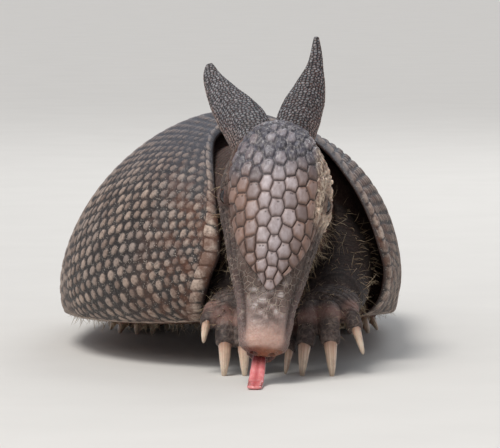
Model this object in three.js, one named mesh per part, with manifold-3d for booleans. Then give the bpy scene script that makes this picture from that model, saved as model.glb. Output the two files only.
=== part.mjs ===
// A nine-banded armadillo, life size, crouched with its head down and its tongue out to drink.
// Millimetres, +Z up. The snout points to -Y, the tail to +Y, and the animal's left is +X.
// The origin is on the floor, under the middle of the animal's box.
import * as THREE from 'three';
import { mergeVertices } from 'three/addons/utils/BufferGeometryUtils.js';
import Module from 'manifold-3d';

const wasm = await Module();
wasm.setup();

// ---------------------------------------------------------------- driving sizes
const RAD = Math.PI / 180;
const GAP = 0.35; // left between pieces that touch
const ORIGIN = [-9.1, 232.5]; // the middle of the animal's box, in the sketch frame used below
const PLATE = 3.5; // thickness of the shell
const UNDER_SHELL = 1.4; // the flesh stays this far inside the shell
const MARGIN = 120 * RAD; // the shell runs this far down each side from the top of the back
const SHELL_END = 296; // length of the shell along the spine
const BAND_COUNT = 9;
const BANDS_FROM = 90; // along the spine
const BAND_PITCH = 9.8;
const BAND_STEP = 0.9; // how far a band's front edge is tucked under the one before it
const HEAD_SHIELD = 1.3; // thickness of the bony cap of the head
const EYE_RADIUS = 4.4;

// ---------------------------------------------------------------- curves
// A smooth curve through [x, y] pairs that never overshoots them.
function curve(pairs) {
  const x = pairs.map((pair) => pair[0]);
  const y = pairs.map((pair) => pair[1]);
  const last = x.length - 1;
  const step = x.slice(1).map((value, i) => value - x[i]);
  const rise = step.map((width, i) => (y[i + 1] - y[i]) / width);
  const slope = x.map((value, i) => {
    if (last === 1) return rise[0];
    if (i === 0) return endSlope(step[0], step[1], rise[0], rise[1]);
    if (i === last) return endSlope(step[i - 1], step[i - 2], rise[i - 1], rise[i - 2]);
    if (rise[i - 1] * rise[i] <= 0) return 0;
    const before = 2 * step[i] + step[i - 1];
    const after = step[i] + 2 * step[i - 1];
    return (before + after) / (before / rise[i - 1] + after / rise[i]);
  });
  return (at) => {
    const t = Math.min(Math.max(at, x[0]), x[last]);
    let i = 0;
    while (i < last - 1 && t > x[i + 1]) i += 1;
    const u = (t - x[i]) / step[i];
    const start = (1 + 2 * u) * (1 - u) ** 2 * y[i] + u * (1 - u) ** 2 * step[i] * slope[i];
    return start + u * u * (3 - 2 * u) * y[i + 1] + u * u * (u - 1) * step[i] * slope[i + 1];
  };
}

function endSlope(near, far, rise, next) {
  const slope = ((2 * near + far) * rise - near * next) / (near + far);
  if (slope * rise <= 0) return 0;
  return rise * next < 0 && Math.abs(slope) > 3 * Math.abs(rise) ? 3 * rise : slope;
}

// The size of a rounded end: 0 at the tip, 1 once it is `length` in from it.
function rounded(inward, length) {
  const t = Math.min(Math.max(inward / length, 0), 1);
  return Math.sqrt(Math.max(0, 1 - (1 - t) ** 2));
}

function bent(value, power) {
  return Math.sign(value) * Math.abs(value) ** power;
}

// ---------------------------------------------------------------- meshes and solids
// Moves every vertex of a closed three.js geometry and joins its seams.
function remap(geometry, place) {
  const at = geometry.attributes.position;
  const uv = geometry.attributes.uv;
  for (let i = 0; i < at.count; i += 1) {
    const [x, y, z] = place(at.getX(i), at.getY(i), at.getZ(i), uv.getX(i), uv.getY(i));
    at.setXYZ(i, x, y, z);
  }
  geometry.deleteAttribute('normal');
  geometry.deleteAttribute('uv');
  return facingOut(mergeVertices(geometry));
}

function facingOut(geometry) {
  const at = geometry.attributes.position;
  const index = Array.from(geometry.index.array);
  const faces = [];
  const corners = [new THREE.Vector3(), new THREE.Vector3(), new THREE.Vector3()];
  let volume = 0;
  for (let i = 0; i < index.length; i += 3) {
    const [a, b, c] = index.slice(i, i + 3);
    if (a === b || b === c || c === a) continue;
    [a, b, c].forEach((vertex, k) => corners[k].fromBufferAttribute(at, vertex));
    volume += corners[0].dot(corners[1].clone().cross(corners[2]));
    faces.push([a, b, c]);
  }
  geometry.setIndex(faces.flatMap(([a, b, c]) => (volume > 0 ? [a, b, c] : [a, c, b])));
  geometry.computeVertexNormals();
  return geometry;
}

function solid(geometry) {
  const mesh = new wasm.Mesh({
    numProp: 3,
    vertProperties: Float32Array.from(geometry.attributes.position.array),
    triVerts: Uint32Array.from(geometry.index.array),
  });
  return new wasm.Manifold(mesh);
}

function geometryOf(manifold) {
  const mesh = manifold.getMesh();
  const geometry = new THREE.BufferGeometry();
  geometry.setAttribute('position', new THREE.BufferAttribute(mesh.vertProperties, 3));
  geometry.setIndex(new THREE.BufferAttribute(mesh.triVerts, 1));
  geometry.computeVertexNormals();
  return geometry;
}

function join(geometries) {
  return geometryOf(geometries.map(solid).reduce((whole, piece) => whole.add(piece)));
}

function cut(geometry, tools) {
  return geometryOf(tools.map(solid).reduce((whole, tool) => whole.subtract(tool), solid(geometry)));
}

// ---------------------------------------------------------------- lofted bodies
// A closed body along a smooth path, with a half width, a height above the path and a depth below
// it that change from 0 at its start to 1 at its end. `grow` makes the same body larger all round.
function body(shape, grow = 0) {
  const path = new THREE.CatmullRomCurve3(shape.points.map((point) => new THREE.Vector3(...point)));
  path.arcLengthDivisions = 400;
  const length = path.getLength();
  const up = new THREE.Vector3(...shape.up);
  const wide = curve(shape.wide);
  const high = curve(shape.high ?? shape.wide);
  const deep = curve(shape.deep ?? shape.high ?? shape.wide);
  const power = 2 / (shape.square ?? 2);
  const floor = shape.onFloor ? -grow : -Infinity;
  const sphere = new THREE.SphereGeometry(1, shape.facets[0], shape.facets[1]);
  return remap(sphere, (x, y, z, u, v) => {
    const along = ((1 + Math.cos(v * Math.PI)) / 2) * (length + 2 * grow) - grow;
    const t = Math.min(Math.max(along / length, 0), 1);
    const centre = path.getPointAt(t);
    const ahead = path.getTangentAt(t);
    centre.addScaledVector(ahead, along - t * length);
    const side = new THREE.Vector3().crossVectors(ahead, up).normalize();
    const top = new THREE.Vector3().crossVectors(side, ahead);
    const start = rounded(along + grow, shape.caps[0] + grow);
    const end = rounded(length + grow - along, shape.caps[1] + grow);
    const across = bent(Math.cos(u * 2 * Math.PI), power) * (wide(t) + grow) * start * end;
    const lift = bent(Math.sin(u * 2 * Math.PI), power) * start * end;
    centre.addScaledVector(side, across);
    centre.addScaledVector(top, lift * ((lift > 0 ? high(t) : deep(t)) + grow));
    return [centre.x, centre.y, Math.max(centre.z, floor)];
  });
}

// ---------------------------------------------------------------- shell
// Curves along the spine, from the front of the shell.
const heading = curve([[0, 24], [30, 24], [70, 15], [110, 3], [160, -4], [290, -5]]);
const halfWidth = curve([
  [0, 44], [20, 57], [45, 70], [85, 79], [130, 81], [180, 79.5], [225, 75.5], [250, 70], [270, 60.5],
  [285, 48], [296, 33],
]);
const topHeight = curve([
  [0, 93], [20, 103], [50, 110.5], [90, 113], [130, 111], [180, 106], [225, 99], [250, 93], [270, 84],
  [285, 72], [296, 58],
]);
const widestLevel = curve([[0, 44], [45, 40], [85, 34], [130, 28], [180, 27], [240, 32], [296, 36]]);
const squareness = curve([[0, 1.6], [20, 1.7], [45, 1.92], [85, 1.8], [125, 1.72], [290, 1.85]]);
const curlIn = curve([[0, 0.3], [45, 0.24], [85, 0.12], [130, 0.03], [290, 0.03]]);
const marginLevel = curve([[0, 25], [30, 20], [70, 17], [120, 15], [180, 15], [240, 18], [296, 25]]);
// Where the shell starts and ends along the spine, by the angle down from the top of the back.
const frontEdge = curve([
  [0, 58], [15, 50], [30, 33], [45, 17], [60, 6], [75, 1], [90, 3], [105, 10], [120, 20],
]);
const rearEdge = curve([[0, 287], [20, 292], [45, 295], [75, 289], [100, 273], [120, 252]]);

const spine = traceSpine();

function traceSpine() {
  const points = [[23, 0]];
  for (let s = 0; s < SHELL_END; s += 1) {
    const turn = heading(s) * RAD;
    const [x, y] = points[s];
    points.push([x - Math.sin(turn), y + Math.cos(turn)]);
  }
  return points;
}

function spineAt(s) {
  const i = Math.min(Math.max(Math.floor(s), 0), SHELL_END - 1);
  const turn = heading(s) * RAD;
  const past = s - i;
  return { x: spine[i][0] - Math.sin(turn) * past, y: spine[i][1] + Math.cos(turn) * past, turn };
}

// A point of the shell, `depth` inside its outer face. The angle is 0 on the back, + to the left.
function shellPoint(s, angle, depth = 0) {
  const middle = spineAt(s);
  const power = 2 / squareness(s);
  const width = halfWidth(s) - depth;
  const level = widestLevel(s);
  const side = Math.abs(angle);
  let across = width * Math.sin(Math.min(side, Math.PI / 2)) ** power;
  let height = level + (topHeight(s) - depth - level) * Math.max(0, Math.cos(side)) ** power;
  if (side > Math.PI / 2) {
    const turn = ((side - Math.PI / 2) / (MARGIN - Math.PI / 2)) * (Math.PI / 2);
    across = width * (1 - curlIn(s) * (1 - Math.cos(turn)));
    height = level - (level - marginLevel(s)) * Math.sin(turn);
  }
  across *= Math.sign(angle);
  return [middle.x + across * Math.cos(middle.turn), middle.y + across * Math.sin(middle.turn), height];
}

// A curved plate of the shell between two edges, `across` by `along` facets.
function shellPlate(front, rear, across, along, step = 0) {
  const box = new THREE.BoxGeometry(1, 1, 1, across, along, 1);
  return remap(box, (x, y, z) => {
    const angle = 2 * x * MARGIN;
    const back = y + 0.5;
    const s = front(angle) + (rear(angle) - front(angle)) * back;
    return shellPoint(s, angle, z > 0 ? step * (1 - back) : PLATE);
  });
}

function scapularShield() {
  const front = (angle) => frontEdge(Math.abs(angle) / RAD);
  return shellPlate(front, () => BANDS_FROM - GAP, 24, 5);
}

function band(number) {
  const start = BANDS_FROM + number * BAND_PITCH;
  return shellPlate(() => start, () => start + BAND_PITCH - GAP, 18, 1, BAND_STEP);
}

function pelvicShield() {
  const start = BANDS_FROM + BAND_COUNT * BAND_PITCH;
  return shellPlate(() => start, (angle) => rearEdge(Math.abs(angle) / RAD), 20, 6);
}

// ---------------------------------------------------------------- trunk and tail
const TRUNK = { from: 38, to: 290, chestRound: 36, rumpRound: 26, bellySag: 2.5 };
const trunkMiddle = curve([[38, 58], [220, 52], [290, 42]]);

// The flesh inside the shell, with a rounded chest and rump and a slightly sagging belly.
function trunk(grow = 0) {
  const sphere = new THREE.SphereGeometry(1, 18, 12);
  const depth = PLATE + UNDER_SHELL - grow;
  const length = TRUNK.to - TRUNK.from + 2 * grow;
  return remap(sphere, (x, y, z, u, v) => {
    const along = ((1 + Math.cos(v * Math.PI)) / 2) * length;
    const s = TRUNK.from - grow + along;
    const size = rounded(along, TRUNK.chestRound + grow) * rounded(length - along, TRUNK.rumpRound + grow);
    const angle = (u - 0.5) * 2 * Math.PI;
    const side = Math.min(Math.abs(angle), MARGIN) * Math.sign(angle);
    const middle = spineAt(s);
    let [px, py, pz] = shellPoint(s, side, depth);
    if (Math.abs(angle) > MARGIN) {
      const turn = ((Math.abs(angle) - MARGIN) / (Math.PI - MARGIN)) * (Math.PI / 2);
      px = middle.x + (px - middle.x) * Math.cos(turn);
      py = middle.y + (py - middle.y) * Math.cos(turn);
      pz -= (TRUNK.bellySag + grow) * Math.sin(turn);
    }
    return [
      middle.x + (px - middle.x) * size,
      middle.y + (py - middle.y) * size,
      trunkMiddle(s) + (pz - trunkMiddle(s)) * size,
    ];
  });
}

const TAIL = {
  points: [
    [1, 266, 42], [3, 292, 34], [8, 322, 21.5], [16, 356, 12.8], [22, 396, 10.4], [19, 440, 8],
    [8, 486, 5.9], [-5, 528, 4.2], [-16, 558, 2.6],
  ],
  up: [0, 0, 1],
  wide: [[0, 18.5], [0.12, 17.5], [0.3, 13], [0.55, 8.9], [0.8, 5.2], [1, 2.9]],
  caps: [6, 4],
  onFloor: true,
  facets: [11, 21],
};
const TAIL_SPLITS = [255, 366, 468, 570]; // the tail's lengths meet at the two middle ones

// One length of the tail, cut square from the whole.
function tailLength(number, tools) {
  const [from, to] = TAIL_SPLITS.slice(number, number + 2);
  const length = to - from - GAP;
  const slab = remap(new THREE.BoxGeometry(200, length, 200), (x, y, z) => [x, y + (from + to) / 2, z]);
  return geometryOf(solid(cut(body(TAIL), tools)).intersect(solid(slab)));
}

// ---------------------------------------------------------------- head
// The head's axis runs along the palate from the snout's tip to the back of the skull.
const HEAD = {
  tip: [5.5, -71, 12.5],
  pitch: 62 * RAD,
  lean: 4 * RAD,
  roll: -5 * RAD,
  length: 113,
};
const headBack = new THREE.Vector3(
  Math.sin(HEAD.lean),
  Math.cos(HEAD.pitch) * Math.cos(HEAD.lean),
  Math.sin(HEAD.pitch) * Math.cos(HEAD.lean),
);
const headTop = new THREE.Vector3(0, -Math.sin(HEAD.pitch), Math.cos(HEAD.pitch))
  .applyAxisAngle(headBack, -HEAD.roll);
const headLeft = new THREE.Vector3().crossVectors(headBack, headTop).normalize();

const headWide = curve([
  [0, 10], [4, 11.1], [9, 11.7], [14, 12], [18, 12.7], [27.5, 14.5], [37, 17], [47, 19.2], [56, 21.2],
  [64, 23], [71, 24.2], [78, 24.5], [85, 23.6], [92, 21.4], [100, 19], [113, 15],
]);
const headHigh = curve([
  [0, 6], [4, 7.4], [10, 8.6], [20, 9.3], [30, 11], [40, 13.7], [50, 16.6], [60, 19.6], [70, 22],
  [80, 23.6], [90, 24], [100, 22.5], [113, 17],
]);
const headDeep = curve([
  [0, 3.5], [10, 5.2], [20, 6.2], [30, 7.4], [45, 10], [60, 13.4], [75, 16.4], [90, 18], [113, 16],
]);
const HEAD_CAPS = [5, 20];

function headAxis(d) {
  return new THREE.Vector3(...HEAD.tip).addScaledVector(headBack, d);
}

// A point of the head, `out` millimetres above its skin. The turn is 0 on top, + to the left.
function headPoint(d, turn, out = 0) {
  const size = rounded(d, HEAD_CAPS[0]) * rounded(HEAD.length - d, HEAD_CAPS[1]);
  const lift = Math.cos(turn);
  return headAxis(d)
    .addScaledVector(headLeft, Math.sin(turn) * (headWide(d) * size + out))
    .addScaledVector(headTop, lift * ((lift > 0 ? headHigh(d) : headDeep(d)) * size + out))
    .toArray();
}

function headShape() {
  const scaled = (profile) => [0, 0.035, 0.09, 0.16, 0.24, 0.33, 0.42, 0.5, 0.57, 0.63, 0.71, 0.8, 0.89, 1]
    .map((t) => [t, profile(t * HEAD.length)]);
  return {
    points: [headAxis(0), headAxis(HEAD.length / 2), headAxis(HEAD.length)].map((point) => point.toArray()),
    up: headTop.toArray(),
    wide: scaled(headWide),
    high: scaled(headHigh),
    deep: scaled(headDeep),
    caps: HEAD_CAPS,
    facets: [14, 12],
  };
}

// The bony cap over the forehead and the crown, ending in a rounded point on the snout.
const CAP = {
  from: 33,
  to: 106,
  span: curve([[0, 14], [0.12, 32], [0.26, 48], [0.5, 56], [0.8, 60], [1, 48]]),
};

function headShield() {
  const box = new THREE.BoxGeometry(1, 1, 1, 10, 7, 1);
  return remap(box, (x, y, z) => {
    const back = y + 0.5;
    const turn = 2 * x * CAP.span(back) * RAD;
    const bow = 1 - (2 * x) ** 2;
    const ends = (back < 0.5 ? -6 : 2.5) * bow * Math.abs(2 * back - 1);
    const d = CAP.from + (CAP.to - CAP.from) * back + ends;
    return headPoint(d, turn, z > 0 ? GAP + HEAD_SHIELD : -0.6);
  });
}

const JAW = {
  from: 0,
  to: 68,
  open: 5.5, // how far the chin is dropped from the palate
  wide: [[0, 6.5], [0.2, 8.4], [0.5, 11.5], [1, 17]],
  high: [[0, 2.6], [1, 8]],
  deep: [[0, 2.6], [0.5, 4.4], [1, 7]],
};

function jaw(grow = 0) {
  const line = [0, 0.5, 1].map((t) => {
    const d = JAW.from + (JAW.to - JAW.from) * t;
    return headAxis(d).addScaledVector(headTop, -headDeep(d) - JAW.open * (1 - t)).toArray();
  });
  return body({ ...JAW, points: line, up: headTop.toArray(), caps: [6, 16], facets: [9, 6] }, grow);
}

// The eyes look out to the sides, just under the edges of the bony cap.
const EYE = { at: 71, turn: 70 * RAD, sink: 2.4 };

function eye(side, grow = 0) {
  const centre = headPoint(EYE.at, side * EYE.turn, -EYE.sink);
  const sphere = new THREE.SphereGeometry(EYE_RADIUS + grow, 8, 6);
  return remap(sphere, (x, y, z) => [centre[0] + x, centre[1] + y, centre[2] + z]);
}

// The ears are laid back in line with the head, with their rounded backs to the front.
const EAR_THICK = 1.7;
const EAR_ARC = 75 * RAD; // an ear's section is this much of a half ellipse, to each side
const EARS = {
  right: {
    points: [[1, -22, 101], [-4, -17, 112], [-12.2, -9, 123], [-17.4, -2, 132], [-18.6, 2, 138]],
    across: [0.93, -0.3, 0.26],
    half: [[0, 9.4], [0.2, 11.2], [0.4, 10.2], [0.6, 7.9], [0.8, 5.2], [0.93, 3.2], [1, 1.3]],
  },
  left: {
    points: [[20.4, -20, 101], [22.4, -18, 112], [26.8, -16, 125], [29.6, -15, 139], [29.8, -14, 150.5]],
    across: [0.95, 0.22, -0.16],
    half: [[0, 8.4], [0.22, 10.2], [0.4, 9.3], [0.58, 6.8], [0.75, 3.8], [0.9, 2.3], [1, 1.1]],
  },
};
const earCup = curve([[0, 10.5], [0.3, 7], [0.7, 2.8], [1, 0.6]]);

function ear(shape, grow = 0) {
  const path = new THREE.CatmullRomCurve3(shape.points.map((point) => new THREE.Vector3(...point)));
  const half = curve(shape.half);
  const across = new THREE.Vector3(...shape.across);
  const box = new THREE.BoxGeometry(1, 1, 1, 4, 7, 1);
  return remap(box, (x, y, z) => {
    const t = y + 0.5;
    const ahead = path.getTangentAt(t);
    const front = new THREE.Vector3().crossVectors(across, ahead).normalize();
    const side = new THREE.Vector3().crossVectors(front, ahead).normalize();
    const turn = 2 * x * EAR_ARC;
    const along = new THREE.Vector2(half(t) * Math.cos(turn), -earCup(t) * Math.sin(turn)).normalize();
    const out = 2 * z * (EAR_THICK / 2 + grow);
    return path.getPointAt(t)
      .addScaledVector(side, half(t) * Math.sin(turn) + 2 * x * grow * along.x - out * along.y)
      .addScaledVector(front, -earCup(t) * (1 - Math.cos(turn)) + 2 * x * grow * along.y + out * along.x)
      .addScaledVector(ahead, 2 * y * grow)
      .toArray();
  });
}

const TONGUE = {
  points: [
    [6.2, -58, 24], [4.4, -66, 14], [3.4, -72.5, 7], [2.6, -78.5, 2.4], [2, -88, 1.1], [1.8, -93, 1.1],
  ],
  up: [0, -0.75, 0.66],
  wide: [[0, 2.6], [0.3, 3], [0.7, 3.4], [1, 3.2]],
  high: [[0, 1.5], [1, 1.2]],
  caps: [1.5, 3],
  onFloor: true,
  facets: [8, 8],
};

// ---------------------------------------------------------------- neck
const NECK = {
  points: [[12.5, -36, 84], [11, -8, 77], [6, 22, 70], [-2, 58, 64]],
  up: [0, 0, 1],
  wide: [[0, 18], [0.25, 21], [0.55, 29], [1, 46]],
  high: [[0, 17], [0.25, 23.5], [0.55, 30], [1, 36]],
  deep: [[0, 18], [0.25, 26], [0.55, 34], [1, 40]],
  caps: [10, 20],
  facets: [12, 7],
};

// ---------------------------------------------------------------- legs
const FORELEGS = {
  right: {
    points: [[-12, 52, 60], [-19, 34, 42], [-14, 14, 35], [-9, -4, 31.5]],
    up: [0, -0.5, 1],
    wide: [[0, 20], [0.35, 17], [0.7, 13], [1, 10.5]],
    caps: [10, 7],
    facets: [11, 7],
  },
  left: {
    points: [[28, 68, 60], [40, 46, 44], [40, 22, 35.5], [38, -2, 31.5]],
    up: [0, -0.5, 1],
    wide: [[0, 20], [0.35, 17], [0.7, 14.5], [1, 12]],
    caps: [10, 7],
    facets: [11, 7],
  },
};
const PALM = {
  up: [0, -0.4, 1],
  high: [[0, 9], [1, 8]],
  deep: [[0, 9], [1, 6]],
  caps: [5, 5],
  facets: [10, 6],
};
const PALMS = {
  right: {
    points: [[-8.5, -1, 30], [-7.5, -12, 28.5], [-6.8, -20, 25.5]],
    wide: [[0, 9.5], [0.6, 11.5], [1, 11]],
  },
  left: {
    points: [[38, 1, 30.5], [36.5, -9, 29.5], [33, -19, 27]],
    wide: [[0, 11], [0.6, 13.5], [1, 12.5]],
  },
};
// Each finger: its knuckle, the root of its claw, the claw's tip, and the claw's half width.
const FINGERS = {
  right: [
    [[3.4, -14, 23], [4.6, -20, 15.5], [6.2, -24.5, 0], 2.1],
    [[-4, -20.5, 26], [-3.2, -28, 20.5], [-2.4, -32.5, -0.8], 3],
    [[-11.6, -20, 27], [-11.2, -28, 21.5], [-11.6, -32.5, -0.8], 3.2],
    [[-15.4, -14.5, 28.5], [-18.4, -21.5, 25.5], [-20.8, -26, 14], 2.2],
  ],
  left: [
    [[20.5, -14, 23], [18.6, -21, 15.5], [15.8, -26, 0], 2.1],
    [[27, -20, 27], [25.3, -28, 21], [23.2, -33, -0.8], 3],
    [[35.2, -20, 28], [35.4, -29, 22.5], [36.6, -34, -0.8], 3.2],
    [[43.5, -13, 29], [45.5, -22, 25.5], [50.6, -27.5, 9], 2.3],
  ],
};
const SOLE = {
  up: [0, 0, 1],
  wide: [[0, 9.5], [0.5, 12], [1, 13]],
  high: [[0, 5.4], [0.5, 5.6], [1, 4.6]],
  deep: [[0, 9], [1, 9]],
  caps: [9, 8],
  onFloor: true,
  facets: [10, 6],
};
const SOLES = {
  right: { points: [[-46, 236, 7.6], [-50, 214, 7.6], [-54, 192, 7.4]] },
  left: { points: [[40, 236, 7.6], [44, 214, 7.6], [48, 192, 7.4]] },
};
// Each toe of a hind foot: knuckle, claw root, tip and half width, from the inner side out.
const TOES = {
  right: [
    [[-42, 198, 7], [-41, 188, 5.6], [-40.5, 180, 0], 1.9],
    [[-47, 190, 7.2], [-47, 179, 6], [-47.5, 168.5, 0], 2.4],
    [[-53, 187, 7.4], [-54, 176, 6.4], [-55.5, 164, 0], 2.8],
    [[-59.5, 190, 7.2], [-61.5, 180, 6], [-64, 169.5, 0], 2.4],
    [[-63, 201, 6.6], [-65.5, 194, 5.6], [-69, 186.5, 0], 1.9],
  ],
};
TOES.left = TOES.right.map(([knuckle, root, tip, half]) => [
  ...[knuckle, root, tip].map(([x, y, z]) => [-x - 6, y, z]),
  half,
]);
const THIGHS = {
  right: { points: [[-36, 190, 44], [-54, 202, 28], [-49, 228, 14]] },
  left: { points: [[30, 190, 44], [48, 202, 28], [43, 228, 14]] },
};

function claw([knuckle, root, tip, half], grow = 0) {
  const [start, end, joint] = [root, tip, knuckle].map((point) => new THREE.Vector3(...point));
  const outward = start.clone().sub(joint).normalize();
  const inside = start.clone().addScaledVector(outward, -3);
  const bend = start.clone().lerp(end, 0.5).addScaledVector(outward, 0.12 * start.distanceTo(end));
  return body({
    points: [inside, start, bend, end].map((point) => point.toArray()),
    up: [0, -1, 0.3],
    wide: [[0, half * 0.8], [0.3, half], [0.7, half * 0.72], [1, half * 0.3]],
    high: [[0, half * 0.9], [0.3, half * 1.15], [0.7, half * 0.9], [1, half * 0.35]],
    caps: [1.5, 1.5],
    onFloor: true,
    facets: [6, 4],
  }, grow);
}

// A finger or toe, from inside the palm or sole to a share of the way down its claw.
function digit([knuckle, root, tip, half], back, cuff) {
  const [joint, palm, start, end] = [knuckle, back, root, tip].map((point) => new THREE.Vector3(...point));
  const outward = start.clone().sub(joint).normalize();
  const bow = 0.48 * cuff * (1 - cuff) * start.distanceTo(end);
  const over = start.clone().lerp(end, cuff).addScaledVector(outward, bow);
  const line = [joint.clone().lerp(palm, 0.45), joint, start.lerp(joint, 0.2), over];
  return body({
    points: line.map((point) => point.toArray()),
    up: [0, -0.4, 1],
    wide: [[0, half + 1.6], [0.5, half + 2], [1, half + 1.5]],
    caps: [3, 1],
    onFloor: true,
    facets: [6, 4],
  });
}

function foot(pad, digits, back, cuff) {
  const whole = join([pad, ...digits.map((shape) => digit(shape, back, cuff))]);
  return cut(whole, digits.map((shape) => claw(shape, GAP)));
}

function palm(side, grow = 0) {
  return body({ ...PALM, ...PALMS[side] }, grow);
}

function sole(side, grow = 0) {
  return body({ ...SOLE, ...SOLES[side] }, grow);
}

function thigh(side, grow = 0) {
  return body({
    ...THIGHS[side],
    up: [0, 1, 0.2],
    wide: [[0, 15], [0.5, 15.5], [1, 10.5]],
    caps: [12, 7],
    facets: [9, 6],
  }, grow);
}

// ---------------------------------------------------------------- the animal
const SHELL_LOOK = { color: 0x6f6259, roughness: 0.62, metalness: 0 };
const BAND_LOOK = { color: 0x685c54, roughness: 0.62, metalness: 0 };
const CAP_LOOK = { color: 0x96857b, roughness: 0.55, metalness: 0 };
const SKIN_LOOK = { color: 0x7b6458, roughness: 0.7, metalness: 0 };
const EAR_LOOK = { color: 0x5a5250, roughness: 0.7, metalness: 0 };
const LEG_LOOK = { color: 0x5b4a43, roughness: 0.72, metalness: 0 };
const CLAW_LOOK = { color: 0xc9ab94, roughness: 0.4, metalness: 0 };
const EYE_LOOK = { color: 0x120d0b, roughness: 0.08, metalness: 0 };
const TONGUE_LOOK = { color: 0xd06a6a, roughness: 0.2, metalness: 0 };

const animal = new THREE.Group();
animal.position.set(-ORIGIN[0], -ORIGIN[1], 0);

function add(name, geometry, look) {
  const mesh = new THREE.Mesh(geometry, new THREE.MeshStandardMaterial(look));
  mesh.name = name;
  animal.add(mesh);
}

const SIDES = ['right', 'left'];
const SIGN = { right: -1, left: 1 };

add('shield_scapular', scapularShield(), SHELL_LOOK);
for (let i = 0; i < BAND_COUNT; i += 1) {
  add(`band_${i + 1}`, band(i), BAND_LOOK);
}
add('shield_pelvic', pelvicShield(), SHELL_LOOK);
add('trunk', cut(trunk(), SIDES.map((side) => thigh(side, GAP))), SKIN_LOOK);

const headRoom = body(headShape(), GAP);
const earRoom = SIDES.map((side) => ear(EARS[side], GAP));
const eyeRoom = SIDES.map((side) => eye(SIGN[side], GAP));
const tongueRoom = body(TONGUE, GAP);
add('head', cut(body(headShape()), [...earRoom, ...eyeRoom, tongueRoom]), SKIN_LOOK);
add('head_shield', cut(headShield(), [headRoom, ...earRoom]), CAP_LOOK);
add('jaw', cut(jaw(), [headRoom, tongueRoom]), SKIN_LOOK);
add('tongue', body(TONGUE), TONGUE_LOOK);

add('neck', cut(body(NECK), [headRoom, jaw(GAP), trunk(GAP), ...earRoom]), SKIN_LOOK);
SIDES.forEach((side) => {
  add(`eye_${side}`, eye(SIGN[side]), EYE_LOOK);
  add(`ear_${side}`, ear(EARS[side]), EAR_LOOK);
});

SIDES.forEach((side) => {
  const tools = [trunk(GAP), body(NECK, GAP), palm(side, GAP)];
  add(`foreleg_${side}`, cut(body(FORELEGS[side]), tools), LEG_LOOK);
  add(`forefoot_${side}`, foot(palm(side), FINGERS[side], PALMS[side].points[1], 0.32), LEG_LOOK);
  FINGERS[side].forEach((finger, i) => add(`foreclaw_${side}_${i + 1}`, claw(finger), CLAW_LOOK));
});

SIDES.forEach((side) => {
  add(`hindleg_${side}`, cut(thigh(side), [sole(side, GAP)]), LEG_LOOK);
  add(`hindfoot_${side}`, foot(sole(side), TOES[side], SOLES[side].points[1], 0.12), LEG_LOOK);
  TOES[side].forEach((toe, i) => add(`hindclaw_${side}_${i + 1}`, claw(toe), CLAW_LOOK));
});

['tail_base', 'tail_mid', 'tail_tip'].forEach((name, i) => {
  add(name, tailLength(i, [trunk(GAP)]), SHELL_LOOK);
});

export default animal;
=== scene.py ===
"""The looks of a life-size nine-banded armadillo that crouches to drink, on a plain studio floor."""

import math
from types import SimpleNamespace

import bmesh
import bpy
import numpy as np
from mathutils.kdtree import KDTree
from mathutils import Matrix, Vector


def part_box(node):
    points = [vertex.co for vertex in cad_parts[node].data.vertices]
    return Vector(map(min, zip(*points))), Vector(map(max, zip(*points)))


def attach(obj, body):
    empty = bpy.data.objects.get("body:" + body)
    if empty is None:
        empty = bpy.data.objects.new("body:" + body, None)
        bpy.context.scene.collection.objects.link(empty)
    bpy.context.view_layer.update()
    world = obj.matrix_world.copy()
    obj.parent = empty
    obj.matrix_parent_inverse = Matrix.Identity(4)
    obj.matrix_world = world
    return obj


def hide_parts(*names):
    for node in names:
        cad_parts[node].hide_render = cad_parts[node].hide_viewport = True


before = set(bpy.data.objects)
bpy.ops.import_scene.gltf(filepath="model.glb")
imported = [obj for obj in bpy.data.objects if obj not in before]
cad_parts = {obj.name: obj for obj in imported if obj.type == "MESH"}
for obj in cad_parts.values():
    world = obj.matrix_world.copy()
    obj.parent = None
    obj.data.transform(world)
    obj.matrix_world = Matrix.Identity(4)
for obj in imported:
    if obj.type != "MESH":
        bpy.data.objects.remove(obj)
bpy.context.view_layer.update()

# Shapes are worked out in millimetres, in the sketch frame that the solids are drawn in.
RAD = math.pi / 180
SIDES = {"right": -1, "left": 1}  # the animal's left is +X
rng = np.random.default_rng(9)


# ---------------------------------------------------------------- curves and noise
def curve(pairs):
    """A smooth curve through (x, y) pairs that never overshoots them."""
    x, y = np.array(pairs, float).T
    step = np.diff(x)
    rise = np.diff(y) / step
    slope = np.full(len(x), rise[0])
    if len(x) > 2:
        before = 2 * step[1:] + step[:-1]
        after = step[1:] + 2 * step[:-1]
        same = rise[:-1] * rise[1:] > 0
        low, high = np.where(same, rise[:-1], 1), np.where(same, rise[1:], 1)
        slope[1:-1] = np.where(same, (before + after) / (before / low + after / high), 0)
        slope[0] = end_slope(step[0], step[1], rise[0], rise[1])
        slope[-1] = end_slope(step[-1], step[-2], rise[-1], rise[-2])

    def at(value):
        t = np.clip(value, x[0], x[-1])
        i = np.clip(np.searchsorted(x, t, side="right") - 1, 0, len(x) - 2)
        u = (t - x[i]) / step[i]
        start = (1 + 2 * u) * (1 - u) ** 2 * y[i] + u * (1 - u) ** 2 * step[i] * slope[i]
        return start + u * u * (3 - 2 * u) * y[i + 1] + u * u * (u - 1) * step[i] * slope[i + 1]

    return at


def end_slope(near, far, rise, following):
    slope = ((2 * near + far) * rise - near * following) / (near + far)
    if slope * rise <= 0:
        return 0
    if rise * following < 0 and abs(slope) > 3 * abs(rise):
        return 3 * rise
    return slope


def rounded(inward, length):
    """The size of a rounded end: 0 at the tip, 1 once it is `length` in from it."""
    t = np.clip(inward / length, 0, 1)
    return np.sqrt(np.maximum(0, 1 - (1 - t) ** 2))


def ease(value, low, high):
    """0 below `low`, 1 above `high`, and a smooth step between them. They may be swapped."""
    t = np.clip((value - low) / (high - low), 0, 1)
    return t * t * (3 - 2 * t)


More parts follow.
